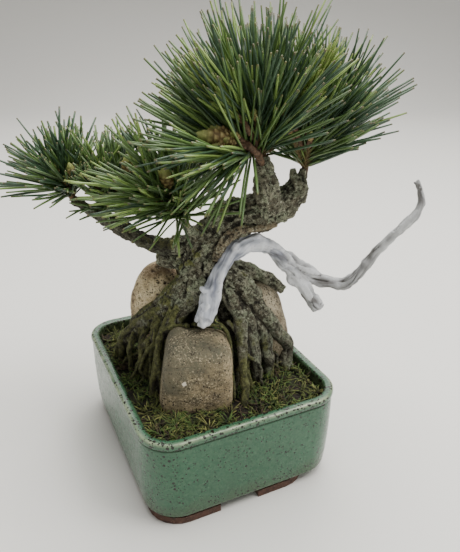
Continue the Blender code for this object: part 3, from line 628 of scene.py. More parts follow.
def limb_axes(centres):
    """Tangent, side and third axis at each centre; the side keeps to one plane, the one
    most nearly square to the whole limb, so that the section doesn't spin."""
    tangents = unit(np.gradient(centres, axis=0))
    square = np.linalg.svd(tangents)[2][2]
    side = unit(square - tangents * (tangents @ square)[:, None])
    return tangents, side, np.cross(tangents, side)


def spokes(side, other, count):
    """Directions at even angles round each place, from its side towards its other axis."""
    angle = np.linspace(0, 2 * np.pi, count, endpoint=False)
    return side[:, None] * np.cos(angle)[:, None] + other[:, None] * np.sin(angle)[:, None]


def fused_limbs(name, lines, voxel, easing):
    """One skin round many round limbs: rings swept along every line, melted together on a
    grid of small cubes, then eased smooth."""
    points, faces, count, around = [], [], 0, 20
    for centres, widths in lines:
        out = spokes(*limb_axes(centres)[1:], around)
        points.append((centres[:, None] + out * widths[:, None, None]).reshape(-1, 3))
        faces.append(tube_faces(len(centres), around) + count)
        count += len(centres) * around
    body = mesh_object(name, settled(np.concatenate(points)), np.concatenate(faces))
    melt = body.modifiers.new("melt", "REMESH")
    melt.mode = "VOXEL"
    melt.voxel_size = voxel * MM
    ease = body.modifiers.new("ease", "SMOOTH")
    ease.factor = 0.5
    ease.iterations = easing
    keep_modified(body)
    return body


def skin_of(body):
    """Points in millimetres from the pot's middle, and normals, of a fused skin."""
    return (read(body.data.vertices, "co") - POT_MIDDLE) / MM, read(body.data.vertex_normals, "vector")


def along_limbs(points, lines):
    """For each point the nearest limb's own coordinates: how far along it, and the two
    offsets across it, with the limb's radius there. Each limb's run starts LIMB_RUN further."""
    centres, widths = (np.concatenate(part) for part in zip(*lines))
    axes = zip(*[limb_axes(line[0]) for line in lines])
    tangents, side, other = (np.concatenate(axis) for axis in axes)
    run = np.concatenate([np.arange(len(line[0])) + LIMB_RUN * k for k, line in enumerate(lines)])
    nearest = np.empty(len(points), dtype=int)
    for start in range(0, len(points), 4000):
        batch = points[start:start + 4000]
        far = np.sqrt(np.maximum(0, (batch ** 2).sum(1)[:, None] - 2 * batch @ centres.T
                                 + (centres ** 2).sum(1)))
        nearest[start:start + 4000] = np.argmin(far - widths, axis=1)
    off = points - centres[nearest]
    local = np.stack([run[nearest] + (off * tangents[nearest]).sum(1),
                      (off * side[nearest]).sum(1), (off * other[nearest]).sum(1)], axis=-1)
    return local, widths[nearest]


def hair_roots(seed, count, least, most, low, high):
    """Fine roots that leave the flare and wander down over stones and older roots."""
    chance = np.random.default_rng(seed)
    lines = []
    for index in range(count):
        angle = math.radians(chance.uniform(low, high))
        levels = np.linspace(chance.uniform(66, 92), GROUND - 1.5, 7)
        spread = np.interp(levels, [48, 60, 80, 104], [45, 41, 31, 12]) + chance.normal(0, 1.5, 7)
        sway = angle + np.cumsum(chance.normal(0, 0.075, 7))
        thick = chance.uniform(least, most)
        steps = [(spread[k] * np.cos(sway[k]) + 1, spread[k] * np.sin(sway[k]) * 0.82, levels[k],
                  thick * (1 - 0.07 * k)) for k in range(7)]
        lines.append(root_line(steps, 1.6, seed + index, 0.4))
    return lines


def moved_out(body, points, normals, relief):
    """Raise a skin by a relief along its normals; its new points, in millimetres."""
    points = points + normals * relief[:, None]
    body.data.vertices.foreach_set("co", settled(points).astype(np.float32).ravel())
    body.data.update()
    return points


def below_eased(body, points, normals, rounds):
    """How far each point lies below the skin eased flat, along its normal: every round moves
    each point of a copy to the mean of its neighbours."""
    ends = read(body.data.edges, "vertices", 2, np.int32)
    near, far = ends.T
    count = np.bincount(ends.ravel(), minlength=len(points))[:, None]
    eased = points.copy()
    for _ in range(rounds):
        eased = np.stack([np.bincount(near, eased[far, k], len(points))
                          + np.bincount(far, eased[near, k], len(points)) for k in range(3)],
                         axis=-1) / count
    return ((eased - points) * normals).sum(axis=1)


wood_steps = [TRUNK, *STUBS, BOUGH_LEFT, LEADER, *FORKS, SHOOT_MIDDLE, SPUR, CALLUS, CORE]
wood_lines = [limb_line(steps, 0.5, 3 + k) for k, steps in enumerate(wood_steps)]
wood_lines += [root_line(steps, 1.3, 40 + k, 0.2) for k, steps in enumerate(ROOTS + RIDGES)]
wood_lines += hair_roots(71, 12, 0.9, 1.4, 200, 262) + hair_roots(171, 5, 0.9, 1.3, 290, 335)
wood_lines += hair_roots(271, 9, 1.0, 1.5, 20, 112)
living_wood = fused_limbs("living_wood", wood_lines, 0.56, 1)
wood_points, wood_normals = skin_of(living_wood)
wood_local, wood_radius = along_limbs(wood_points, wood_lines)
size = np.clip(wood_radius / 6, 0.16, 1.0)
furrow = 1 - 2 * np.abs(grain(wood_local * [0.22, 1, 1], 2.8, 5))
furrow += 0.6 * (1 - 2 * np.abs(grain(wood_local * [0.3, 1, 1], 1.5, 6)))
crust = (grain(wood_points, 2.4, 7) + 0.7 * grain(wood_points, 1.3, 8)
         + 0.5 * grain(wood_points, 0.8, 9))
knots = grain(wood_points, 7.0, 10) + 0.5 * grain(wood_points, 3.6, 11)
flake_gap, flake_tag = cells(wood_local * [0.6, 1, 1] + 0.4 * crust[:, None], 2.6, 3)
flakes = (flake_tag - 0.5 + 0.6 * np.clip(flake_gap * 3, 0, 1) - 0.4) * np.clip(
    (wood_points[:, 2] - 84) / 16, 0.25, 1)
relief = size * (0.55 * furrow + 0.5 * crust + 0.5 * knots + 0.85 * flakes)
wood_points = moved_out(living_wood, wood_points, wood_normals, relief)
across, _, up = wood_points.T
facing_up = wood_normals[:, 2]
# Painted shade: the bark's colour is darkened near black in cracks, creases and deep hollows, low down and
# on undersides, and under the left bough, all gathered in one painted number.
crease = below_eased(living_wood, wood_points, wood_normals, 40)
hollow = below_eased(living_wood, wood_points, wood_normals, 220)
sunk_shade = np.clip(crease * 0.9 - 0.1, 0, 1) + np.clip(hollow * 0.22 - 0.1, 0, 0.8) * (up < 112)
# Painted shade: darker low down, where the wood is also damp, and on faces that turn downwards.
damp_and_shade = 0.3 * np.clip((106 - up) / 26, 0, 1) + 0.45 * np.clip(-0.1 - facing_up, 0, 1) * (up < 105)
crack_shade = np.clip(-0.6 * furrow - 0.5 * crust - 0.3 * knots - 1.0 * flakes - 0.15, 0, 1)
shade = 0.45 * (across < -14) * (up > 116)
paint(living_wood, "hollow", np.clip(0.8 * crack_shade + 1.0 * sunk_shade + damp_and_shade + shade, 0, 1))
paint(living_wood, "callus", np.floor(wood_local[:, 0] / LIMB_RUN + 0.1) == wood_steps.index(CALLUS))
# The tone number is lighter on raised plates and darker in cracks, as bark is, and lowered further in
# creases as painted shade.
paint(living_wood, "height", np.clip(0.5 + 0.38 * (relief / size - 0.1) - 0.3 * crease, 0, 1))
damp = (np.clip((104 - up) / 40, 0, 1) + 0.9 * np.clip(facing_up, 0, 1)
        + np.clip(-across / 50, -0.5, 0.5) + np.clip(-0.9 * crease, -0.8, 0.6) + 0.22 * (across < 4))
paint(living_wood, "moss", np.clip(damp * 0.8 + 0.7 * grain(wood_points, 6.0, 12) - 0.85, 0, 1))


def bark_material():
    """Pine bark: grey-olive crust, painted near black as shade in its cracks, creases, hollows and
    undersides, dusted with pale green lichen, rusty in places, and olive with moss low down and
    on upper sides."""
    material, tree = new_material("pine_bark", 0.92)
    moss = [520.0, 5.0, 0.75, (0.38, (0.03, 0.034, 0.01)), (0.5, (0.15, 0.162, 0.042)),
            (0.64, (0.32, 0.335, 0.1))]
    deep = layered(tree, (0.008, 0.006, 0.004),
                   ([500.0, 4.0, 0.7, (0.42, 0.0), (0.62, 1.0)], (0.05, 0.042, 0.028)))
    tone = layered(tree, ["height", (0.15, (0.03, 0.026, 0.017)), (0.5, (0.104, 0.1, 0.066)),
                          (0.85, (0.305, 0.3, 0.208))],
                   ([75.0, 4.0, 0.62, (0.48, 0.0), (0.58, 0.6)], (0.1, 0.078, 0.048)),
                   ([130.0, 7.0, 0.76, (0.49, 0.0), (0.58, 0.85)], (0.315, 0.365, 0.235)),
                   (["callus", (0.3, 0.0), (0.8, 0.75)], (0.3, 0.235, 0.14)),
                   ([520.0, 6.0, 0.82, (0.53, 0.0), (0.6, 0.85)], (0.64, 0.655, 0.48)),
                   ([560.0, 6.0, 0.8, (0.43, 0.92), (0.51, 0.0)], (0.032, 0.027, 0.018)),
                   (["moss", (0.25, 0.0), (0.6, 0.9)], moss),
                   # The painted shade in cracks, creases, hollows and undersides.
                   (["hollow", (0.04, 0.0), (0.62, 0.95)], deep))
    return surface(material, tone, [600.0, 8.0, 0.82], 0.0018, 1.0)


def part_of(body, name, chosen):
    """The chosen quads of a skin as a piece of their own, closed across the cut, shaded by
    the whole skin's normals and with its painted numbers."""
    corners = read(body.data.loops, "vertex_index", 1, np.int32).reshape(-1, 4)[chosen]
    used, faces = np.unique(corners, return_inverse=True)
    piece = mesh_object(name, read(body.data.vertices, "co")[used], faces.reshape(-1, 4))
    for layer in body.data.attributes:
        if layer.domain == "POINT" and layer.data_type == "FLOAT":
            paint(piece, layer.name, read(layer.data, "value", 1)[used, 0])
    closed = bmesh.new()
    closed.from_mesh(piece.data)
    bmesh.ops.holes_fill(closed, edges=[edge for edge in closed.edges if edge.is_boundary], sides=0)
    closed.to_mesh(piece.data)
    closed.free()
    normals = read(body.data.vertex_normals, "vector")[used]
    piece.data.normals_split_custom_set_from_vertices(normals.tolist())
    return piece


bark = bark_material()
low = read(living_wood.data.polygons, "center")[:, 2] < ROOTS_TOP * MM
finish_piece(part_of(living_wood, "exposed_roots", low), bark, "bark", "trunk")
finish_piece(part_of(living_wood, "trunk_and_boughs", ~low), bark, "bark", "bough_left_inner",
             "bough_left_outer", "bough_crown_left", "bough_crown_right", "shoot_middle")
bpy.data.objects.remove(living_wood, do_unlink=True)


# The deadwood: one old limb, stripped, carved and bleached with lime, that rises out of the
# front of the trunk, arches over and forks into a broken stub and a long sweeping tip.
DEAD_FALL = [(2.7, -24.5, 91, 4.9), (5.5, -18, 98.5, 4.8), (9, -12, 109, 4.5), (14.5, -8, 118.2, 4.9),
             (21, -6, 124, 5.2), (29.9, -4, 126, 4.9), (39.3, -3, 122, 4.7), (46.7, -2, 114.5, 4.4),
             (53.2, -1, 104.5, 3.9), (59.1, -2, 95.5, 3.6), (64.5, -2, 87, 3.4)]
DEAD_SWEEP = [(43.5, -2, 118.5, 4.4), (54, 1, 109.5, 4.2), (64.7, 2, 102.3, 3.8), (75.8, 1, 99.3, 3.5),
              (84, -1, 103, 3.2), (91.3, -3, 114.3, 2.8), (97.6, -5, 126.1, 2.6), (105.8, -7, 135.7, 2.4),
              (111.3, -8, 143.1, 2.3), (113.5, -8, 149.5, 1.9), (111.6, -8, 155.7, 1.5),
              (109.9, -8, 160.8, 0.8)]
SPLINTERS = [[(4.5, -16.5, 104, 2.2), (2.6, -19.5, 106, 1.8), (1.4, -20.5, 107.5, 1.2)],
             [(4, -22, 97, 3.4), (2.2, -25.5, 91.5, 2.2), (0.8, -27, 87.5, 0.9)],
             [(5.5, -21, 97, 3.2), (5, -24.5, 91, 1.8), (4.6, -26, 88.5, 0.7)],
             [(2.2, -22.5, 96, 2.6), (-0.6, -24.5, 92.5, 1.5), (-2, -25.5, 90, 0.6)],
             [(60, -2, 94, 3.3), (64.6, -2.2, 87.4, 3.7), (65.8, -2.4, 85.6, 3)],
             [(63, -2.5, 89.5, 2.4), (67.2, -3.5, 88.5, 1.3), (68.6, -4, 89.2, 0.6)],
             [(111.2, -8, 156.5, 1.6), (109.4, -8.4, 159.2, 1.1), (107.8, -8.6, 159.6, 0.6)],
             [(36, -5, 124, 2.2), (43, -5.5, 119, 2.4), (51, -3, 110.5, 2.2), (60, -1, 103.5, 1.6)]]
dead_lines = [limb_line(DEAD_FALL, 0.7, 81), limb_line(DEAD_SWEEP, 0.7, 82)]
dead_lines += [limb_line(steps) for steps in SPLINTERS]
deadwood = fused_limbs("silver_deadwood", dead_lines, 0.5, 3)
dead_points, dead_normals = skin_of(deadwood)
dead_local, dead_radius = along_limbs(dead_points, dead_lines)
run, out_side, out_other = dead_local.T
twist = run * 0.05
grain_place = np.stack([run * 0.1, out_side * np.cos(twist) - out_other * np.sin(twist),
                        out_side * np.sin(twist) + out_other * np.cos(twist)], axis=-1)
fibre = grain(grain_place, 1.3, 11) + 0.6 * grain(grain_place, 0.65, 12)
split = np.clip(0.13 - np.abs(grain(grain_place, 2.6, 13)), 0, 0.13) / 0.13
split *= np.clip(grain(dead_points, 9.0, 15) * 2 + 0.4, 0, 1)
split *= np.clip(0.12 + (dead_points[:, 0] - 18) / 40, 0.12, 1)
gouge = grain(dead_points, 5.5, 14) + 0.5 * grain(dead_points, 2.6, 16)
facet_gap, facet = cells(dead_local * [0.22, 1, 1], 2.4, 18)
facet = (facet - 0.5) * np.clip(facet_gap * 2.5, 0, 1)
flute = grain(grain_place * [1.2, 1, 1], 3.4, 19)
dead_relief = np.clip(dead_radius / 3.6, 0.25, 1.1) * (
    0.18 * fibre - 0.85 * split + 0.75 * gouge + 1.1 * facet + 0.8 * flute
    + 0.15 * grain(dead_points, 1.2, 17))
dead_points = moved_out(deadwood, dead_points, dead_normals, dead_relief)
# Painted shade: the splits and the deepest gouges are darkened.
paint(deadwood, "split", np.clip(split + 0.5 * np.clip(-gouge - 0.35, 0, 1), 0, 1))
# The tone follows the fibres, and the relief of gouges, facets and flutes: lighter where raised, darker in
# the low parts as painted shade.
paint(deadwood, "fibre", np.clip(0.5 + 0.22 * fibre + 0.25 * gouge + 0.4 * facet + 0.5 * flute, 0, 1))
paint(deadwood, "old", np.clip((dead_points[:, 0] - 20) / 60, 0, 1))


def silver_material():
    """Lime-bleached wood: bluish white where the lime lies thick low down, weathered grey
    and brown along the fibres towards the tip, darker in the low parts of the relief and in the
    splits as painted shade."""
    material, tree = new_material("silver_wood", 0.7)
    worn = calc(tree, "ADD", noise(tree, 90.0, 5.0, 0.62), painted(tree, "old"))
    worn = put(tree, "MapRange", {"Value": worn, "From Min": 0.52, "To Max": 0.95}).outputs[0]
    bare = ["fibre", (0.15, (0.175, 0.17, 0.165)), (0.5, (0.42, 0.425, 0.43)),
            (0.85, (0.62, 0.63, 0.64))]
    tone = layered(tree, ["fibre", (0.12, (0.25, 0.27, 0.34)), (0.45, (0.6, 0.63, 0.705)),
                          (0.8, (0.88, 0.9, 0.94))],
                   (worn, bare), ([420.0, 5.0, 0.7, (0.34, 0.45), (0.43, 0.0)], (0.265, 0.27, 0.29)),
                   (["split", (0.1, 0.0), (0.8, 0.85)], (0.085, 0.078, 0.07)))
    return surface(material, tone, [700.0, 5.0, 0.7], 0.0006, 0.9)


finish_piece(deadwood, silver_material(), "silver_wood", "deadwood_rise", "deadwood_fall",
             "deadwood_sweep", "deadwood_tip")


# The soil and moss: dark potting soil under a blanket of stringy moss, low at the pot's wall
# and mounded round the stones. The strands are fine green, olive and brown filaments.
SOIL_EDGE = 46.0
SOIL_FOOT = 40.0
STRANDS_PER_CLUMP = 12


def ground_height(points):
    """Height of the soil: low at the wall, mounded inwards, with soft hummocks."""
    edge = np.minimum(49.1 - np.abs(points[..., 0]), 61.1 - np.abs(points[..., 1]))
    flat = np.stack([points[..., 0], points[..., 1], np.zeros(points.shape[:-1])], axis=-1)
    mound = 1.6 * np.clip(edge / 14, 0, 1) + 0.9 * grain(flat, 11.0, 21) + 0.5 * grain(flat, 5.0, 22)
    return 46.8 + mound


share = np.linspace(1.0, 0.004, 72)
wall = pot_outline(np.array([POT_WALL + 0.4]), np.array([SOIL_EDGE]), 200)[0]
ground = share[:, None, None] * wall
ground[..., 2] = ground_height(ground) + 0.4 * grain(ground * [1, 1, 0], 1.5, 23)
ground = np.concatenate([[wall * [1, 1, 0] + [0, 0, SOIL_FOOT]], ground])
soil = mesh_object("soil_bed", settled(ground.reshape(-1, 3)), tube_faces(*ground.shape[:2]))
dark_soil, soil_tree = new_material("dark_soil", 0.95)
soil_tone = layered(soil_tree, [500.0, 5.0, 0.65, (0.35, (0.006, 0.005, 0.003)),
                                (0.55, (0.018, 0.013, 0.008)), (0.72, (0.044, 0.031, 0.018))],
                    ([90.0, 3.0, (0.48, 0.0), (0.62, 0.6)], (0.022, 0.028, 0.008)))
finish_piece(soil, surface(dark_soil, soil_tone, [900.0, 4.0, 0.7], 0.001), "soil", "soil")


def tubes(axis, ways, radius, sides):
    """Many closed tubes, each a row of rings square to its way, with a radius for each ring
    or for each of its points."""
    helper = np.where(np.abs(ways[:, 2:]) < 0.8, [[0.0, 0.0, 1.0]], [[1.0, 0.0, 0.0]])
    side = unit(np.cross(ways, helper))
    out = spokes(side, np.cross(ways, side), sides)
    points = axis[:, :, None] + out[:, None] * radius[..., None]
    rings = axis.shape[1]
    faces = tube_faces(rings, sides) + (np.arange(len(ways)) * rings * sides)[:, None, None]
    return points.reshape(-1, 3), faces.reshape(-1, 4)


def rods(roots, ways, bends, lengths, widths, shape, sides=4):
    """Many slim tapered rods at once: each runs from its root along its way, bows by its
    bend times the square of the way gone, and has the widths of the shape at even steps."""
    steps = np.linspace(0, 1, len(shape))[:, None]
    axis = roots[:, None] + ways[:, None] * (lengths[:, None, None] * steps) \
        + bends[:, None] * steps ** 2
    return tubes(axis, ways, widths[:, None, None] * np.array(shape)[:, None], sides)


def paint_along(piece, shape, first=0.0):
    """Paint four-sided rods with the way gone along each, from the first value to one."""
    one = np.repeat(np.linspace(first, 1, len(shape)), 4)
    paint(piece, "along", np.tile(one, len(piece.data.vertices) // len(one)))


STRAND_SHAPE = (1.0, 0.95, 0.8, 0.3)


def moss_strands(seed, clumps, each, width):
    """Strands in clumps scattered over the soil where the noise is high: each clump sends its
    strands up and out from one spot, and they curl over."""
    chance = np.random.default_rng(seed)
    tries = clumps * 4
    spots = np.stack([chance.uniform(-48.4, 48.4, tries), chance.uniform(-60.4, 60.4, tries),
                      np.zeros(tries)], axis=-1)
    corner = np.hypot(np.maximum(np.abs(spots[:, 0]) - 36, 0), np.maximum(np.abs(spots[:, 1]) - 48, 0))
    thick = grain(spots, 9.0, 31) + 0.5 * grain(spots, 4.0, 32)
    spots = spots[(corner < 11.8) & (thick > chance.uniform(-0.8, 0.3, tries))][:clumps]
    number = len(spots) * each
    clump = np.repeat(np.arange(len(spots)), each)
    roots = spots[clump] + chance.normal(0, 0.85, (number, 3)) * [1, 1, 0]
    roots[:, 2] = ground_height(roots) - 0.4
    heading = chance.uniform(0, 2 * np.pi, number)
    rise = chance.uniform(0.25, 1.6, number)
    ways = unit(np.stack([np.cos(heading), np.sin(heading), rise], axis=-1))
    lengths = chance.uniform(3.0, 7.6, number) * np.repeat(chance.uniform(0.7, 1.15, len(spots)), each)
    bends = chance.normal(0, 1.3, (number, 3)) + ways * [1.4, 1.4, 0] - [0, 0, 1.6]
    reach = roots + ways * lengths[:, None]
    for axis, edge in ((0, 48.0), (1, 60.0)):
        roots[:, axis] += np.sign(roots[:, axis]) * np.clip(edge - np.abs(reach[:, axis]), -9, 0)
    widths = chance.uniform(0.75, 1.25, number) * width
    return rods(roots, ways, bends, lengths, widths, STRAND_SHAPE)


def moss_material(name, tip, base):
    """Moss: near black at the foot of each strand as painted shade down in the mat, light towards its tip.
    """
    material, tree = new_material(name, 0.75)
    shade = calc(tree, "MULTIPLY", painted(tree, "along"), noise(tree, 220.0, 3.0))
    tone = layered(tree, base, (fade(tree, shade, 0.14, 0.5), tip))
    return surface(material, tone, [2500.0, 2.0], 0.0002, 0.5)


# Each moss has a tip colour and a near-black base, painted shade at the foot of its strands.
for index, (tint, clumps, tip, base) in enumerate((
        ("olive", 290, (0.16, 0.188, 0.044), (0.008, 0.01, 0.003)),
        ("green", 290, (0.112, 0.186, 0.04), (0.005, 0.01, 0.003)),
        ("golden", 80, (0.36, 0.36, 0.115), (0.024, 0.022, 0.006)),
        ("brown", 150, (0.095, 0.065, 0.034), (0.009, 0.006, 0.003)))):
    points, faces = moss_strands(40 + index, clumps, STRANDS_PER_CLUMP, 0.37)
    strands = mesh_object("moss_" + tint, settled(points), faces)
    paint_along(strands, STRAND_SHAPE)
    finish_piece(strands, moss_material("moss_" + tint, tip, base), "moss",
                 *(["moss"] if index == 0 else []))


# The foliage: long stiff needles set round short shoots by the golden angle, in greens dealt
# out by shoot, paler on the lit side and darker in shade as painted light. They keep clear of the
# limbs, and of the sight of the big winter buds, each of which has a place, a way, a length and
# a width.
BIG_BUDS = np.array([(17, -25, 184.4, -0.95, -0.2, 0.16, 17.0, 3.7),
                     (-35, -4, 163.5, 0.1, -0.35, 0.93, 11.0, 3.0),
                     (-12, -26, 162.0, -0.15, -0.3, 0.94, 12.0, 3.1),
                     (-64, 1, 161.0, -0.1, -0.35, 0.93, 8.0, 2.3)])
bud_spots, bud_ways = turned(BIG_BUDS[:, :3]), unit(turned(BIG_BUDS[:, 3:6]))
FRONT_SHOOT = turned([(32.5, -10.0, 170.0), (29.5, -15.0, 175.5), (24.0, -21.0, 181.0)])
SIGHT = turned([(0, -0.96, 0.28)]) * np.arange(0, 44, 2)[:, None]
room = (np.concatenate([bud_spots + bud_ways * 6, FRONT_SHOOT])[:, None] + SIGHT).reshape(-1, 3)
room_width = np.repeat([*BIG_BUDS[:, 7], 1.5, 1.5, 1.5], len(SIGHT))
LIMB_BEADS = [np.concatenate([np.concatenate(parts)[::2], extra]) for *parts, extra in
              zip(*(wood_lines[:8] + dead_lines[:2] + [(room, room_width)]))]
GOLDEN = np.pi * (3 - np.sqrt(5))
NEEDLE_LENGTH = 50.0
WALL_REACH = 7.0


def around(aim, tilt, angle):
    """Directions tilted that far from an aim, at those angles round it."""
    side = np.cross(aim, [0.31, 0.77, 0.56])
    side /= np.linalg.norm(side)
    out = side * np.cos(angle)[:, None] + np.cross(aim, side) * np.sin(angle)[:, None]
    return aim * np.cos(tilt)[:, None] + out * np.sin(tilt)[:, None]


def clear_of_limbs(starts, ends):
    """Whether each straight line keeps clear of every limb."""
    centres, widths = LIMB_BEADS
    way = ends - starts
    long = (way ** 2).sum(1)
    t = np.clip(((centres[None] - starts[:, None]) * way[:, None]).sum(-1) / long[:, None], 0, 1)
    near = np.linalg.norm(starts[:, None] + way[:, None] * t[..., None] - centres[None], axis=-1)
    return (near > widths * 1.05 + 0.5).all(axis=1)


def brush(foot, tip, spray, needles, length, rise, chance):
    """Needles up one shoot: a spiral by the golden angle, wide open at the foot of the shoot
    and closing towards its tip, each a little off its place. Level needles are shorter than
    upright ones by the share given as rise."""
    share = (np.arange(needles) + 0.5) / needles
    aim = (tip - foot) / np.linalg.norm(tip - foot)
    turn = np.arange(needles) * GOLDEN + chance.uniform(0, 6.28)
    out = around(aim, math.radians(spray) * (1 - 0.6 * share), turn)
    out = unit(out + chance.normal(0, 0.06, out.shape))
    roots = foot + (tip - foot) * (0.15 + 0.85 * share)[:, None]
    lengths = length * chance.uniform(0.84, 1.06, needles)
    return roots, out, lengths * (1 - rise * (1 - np.clip(out[:, 2], 0, 1)))


def tuft(stem, aim, fan, shoots, reach, spray, needles, length, walls, seed, candle=None,
         rise=0.0, foot=0):
    """One mass of foliage: shoots fanned about an aim from the stem's end, each a brush of
    needles that ends no more than WALL_REACH beyond the mass's walls."""
    chance = np.random.default_rng(seed)
    stem = turned(stem)
    index = np.arange(shoots)
    tilt = np.arccos(1 - (1 - math.cos(math.radians(fan))) * (index + 0.5) / shoots)
    ways = unit(around(turned([aim])[0], tilt, index * GOLDEN + chance.uniform(0, 6.28)))
    tips = stem[-1] + ways * (reach * chance.uniform(0.8, 1.15, shoots))[:, None]
    brushes = [brush(stem[foot], tip, spray, needles, NEEDLE_LENGTH * length, rise, chance)
               for tip in tips]
    roots, outs, lengths = (np.concatenate(part) for part in zip(*brushes))
    ends = roots + outs * lengths[:, None]
    keep = clear_of_limbs(roots + outs * 5.0, ends)
    for spot, way in walls:
        way = turned([way])[0] / np.linalg.norm(way)
        keep &= (ends - turned([spot])[0]) @ way > -WALL_REACH
    return (stem, tips, roots[keep], outs[keep], lengths[keep], np.repeat(index, needles)[keep],
            chance, None if candle is None else turned(candle))


def before(wall):
    return wall[0], tuple(-value for value in wall[1])


def above(across, back, up, lean=0.0):
    return (across, back, up), (lean, 0.0, 1.0)


TIP_MIDDLE = ((-58, 0, 150), (1, 0, 0.1))
MIDDLE_CENTRE = ((-28, -8, 170), (0.7, -0.7, 0))
CENTRE_FRONT = ((3, -26, 176), (0.75, -0.25, 0.6))
LOW_CROWN = ((5, -10, 180), (0.3, 0, 0.95))
FRONT_CROWN = ((30, -10, 174), (0.25, 0.75, 0.6))
CROWN_SPLIT = ((44, 0, 176), (0.6, 0.8, 0))
TUFTS = {
    "foliage_left_tip": tuft(
        [(-68.3, 11, 145.2), (-69, 11, 148)], (-0.12, 0, 1), 52, 6, 13, 74, 60, 0.67,
        [before(TIP_MIDDLE), above(-85, 8, 160, 0.1)], 11),
    "foliage_left_middle": tuft(
        [(-52, 8.8, 136), (-50, 8, 142), (-46, 7, 147)], (0.12, -0.05, 1), 55, 6, 14, 72, 58, 0.62,
        [TIP_MIDDLE, before(MIDDLE_CENTRE), before(LOW_CROWN), above(-45, 0, 149)], 25),
    "foliage_centre": tuft(
        [(-5.8, -11.8, 139.5), (-7.5, -14, 146), (-9, -16, 150)], (-0.35, -0.1, 0.9), 50, 7, 18,
        66, 66, 0.8,
        [MIDDLE_CENTRE, before(CENTRE_FRONT), before(LOW_CROWN), above(-20, -14, 148, 0.3),
         ((19, -14, 150), (-0.9, 0, 0.45))], 31),
    "foliage_front": tuft(
        [(33, -8, 168), (29.5, -15, 175.5), (24, -21, 181)], (-0.93, -0.28, -0.24), 30, 5, 13, 46,
        66, 1.0, [CENTRE_FRONT, before(FRONT_CROWN), above(-5, -40, 154),
                  ((20, -20, 165), (-0.8, 0, 0.6))], 47, foot=1),
    "foliage_crown_left": tuft(
        [(33, -7, 170), (32.5, -6.5, 173)], (-0.33, 0.05, 0.93), 57, 13, 24, 48, 64, 1.06,
        [LOW_CROWN, FRONT_CROWN, before(CROWN_SPLIT)], 53, [(23, -24, 191), (12, -26, 203)], 0.34),
    "foliage_crown_right": tuft(
        [(55.2, 7, 160.5), (56.2, 7, 168)], (0, 0, 1), 46, 11, 22, 51, 64, 0.98,
        [CROWN_SPLIT, above(90, 8, 188, -0.3)], 67, [(46, -6, 190), (56, -12, 208)], 0.34),
}

# Each green has a name, a dark and a light tone, its share of the shoots in most tufts, on
# the side that the light reaches, and in the front tuft. The shares paint light and shade: shoots
# on the lit side and in the front tuft get more of the palest green, the rest more of the darkest.
NEEDLE_TONES = (("deep", (0.018, 0.044, 0.02), (0.048, 0.1, 0.046), 0.56, 0.1, 0.12),
                ("pine", (0.056, 0.11, 0.026), (0.105, 0.18, 0.046), 0.37, 0.34, 0.36),
                ("fresh", (0.11, 0.2, 0.036), (0.24, 0.345, 0.09), 0.0, 0.5, 0.46),
                ("grey", (0.062, 0.108, 0.042), (0.135, 0.2, 0.088), 0.07, 0.06, 0.06))
MOST_ODDS, LIT_ODDS, FRONT_ODDS = ([row[column] for row in NEEDLE_TONES] for column in (3, 4, 5))
NEEDLE_SHAPE = (0.8, 1.0, 1.0, 0.95, 0.7)


def needle_material(name, dark, light):
    """A pine needle: darker and lighter lengths, tan where its sheath is, faintly waxy."""
    material, tree = new_material(name, 0.42)
    tone = layered(tree, dark, ([60.0, 2.0, (0.35, 0.0), (0.65, 1.0)], light),
                   ([700.0, 2.0, (0.4, 0.0), (0.7, 0.5)], light),
                   (["along", (0.03, 0.9), (0.09, 0.0), (0.96, 0.0), (1.0, 0.6)],
                    (0.155, 0.105, 0.045)))
    return surface(material, tone, [1800.0, 2.0], 0.0001, 0.4, [300.0, 2.0, (0.3, 0.34), (0.7, 0.55)])


needle_materials = [needle_material("needle_" + name, dark, light)
                    for name, dark, light, *odds in NEEDLE_TONES]
for mass, (stem, tips, roots, outs, lengths, shoot, chance, _) in TUFTS.items():
    picks = np.random.default_rng(len(roots))
    # Painted light: shoots that point to the lit side draw their greens from the lit shares.
    lit = (tips - stem[-1]) @ turned([(-1.0, -0.1, 0.0)])[0] > 9.0
    tone = np.where(lit, picks.choice(4, len(tips), p=LIT_ODDS), picks.choice(
        4, len(tips), p=FRONT_ODDS if mass == "foliage_front" else MOST_ODDS))[shoot]
    strays = chance.uniform(0, 1, len(roots)) < 0.18
    tone = np.where(strays, chance.integers(0, 4, len(roots)), tone)
    bends = chance.normal(0, 1.1, roots.shape) - [0, 0, 0.9]
    for index, (name, *_) in enumerate(NEEDLE_TONES):
        mine = tone == index
        points, faces = rods(roots[mine], outs[mine], bends[mine], lengths[mine],
                             chance.uniform(0.54, 0.7, mine.sum()), NEEDLE_SHAPE)
        piece = mesh_object(mass + "_needles_" + name, settled(points), faces)
        paint_along(piece, NEEDLE_SHAPE)
        finish_piece(piece, needle_materials[index], "needles", *([mass] if index == 0 else []))


# The twigs, buds and new shoots: rough brown shoots inside the tufts, each tipped with a
# scaly winter bud, and two long pale shoots whose new needles still hug the stem.
def spindles(roots, ways, lengths, widths, rings=26, sides=20):
    """Buds: spindles whose radius is the sine of the way gone, in six rows of overlapping
    scales, each row a saw-tooth that stands out at the scale's tip."""
    u = np.linspace(0, 1, rings)[:, None]
    row = np.floor(u * 6)
    phase = (np.arange(sides) / sides * 5 + 0.5 * row) % 1.0
    fringe = (u * 6 - row) * (1 - np.abs(2 * phase - 1) ** 2)
    radius = np.sin(np.pi * np.clip(0.12 + 0.86 * u, 0, 1)) ** 0.75 * (0.86 + 0.26 * fringe)
    axis = roots[:, None] + ways[:, None] * (lengths[:, None, None] * u)
    edge, along = (np.broadcast_to(value, (len(roots), rings, sides)).ravel() for value in (fringe, u))
    return *tubes(axis, ways, widths[:, None, None] * radius, sides), edge, along


def joined(parts):
    return (np.concatenate(part) for part in zip(*parts))


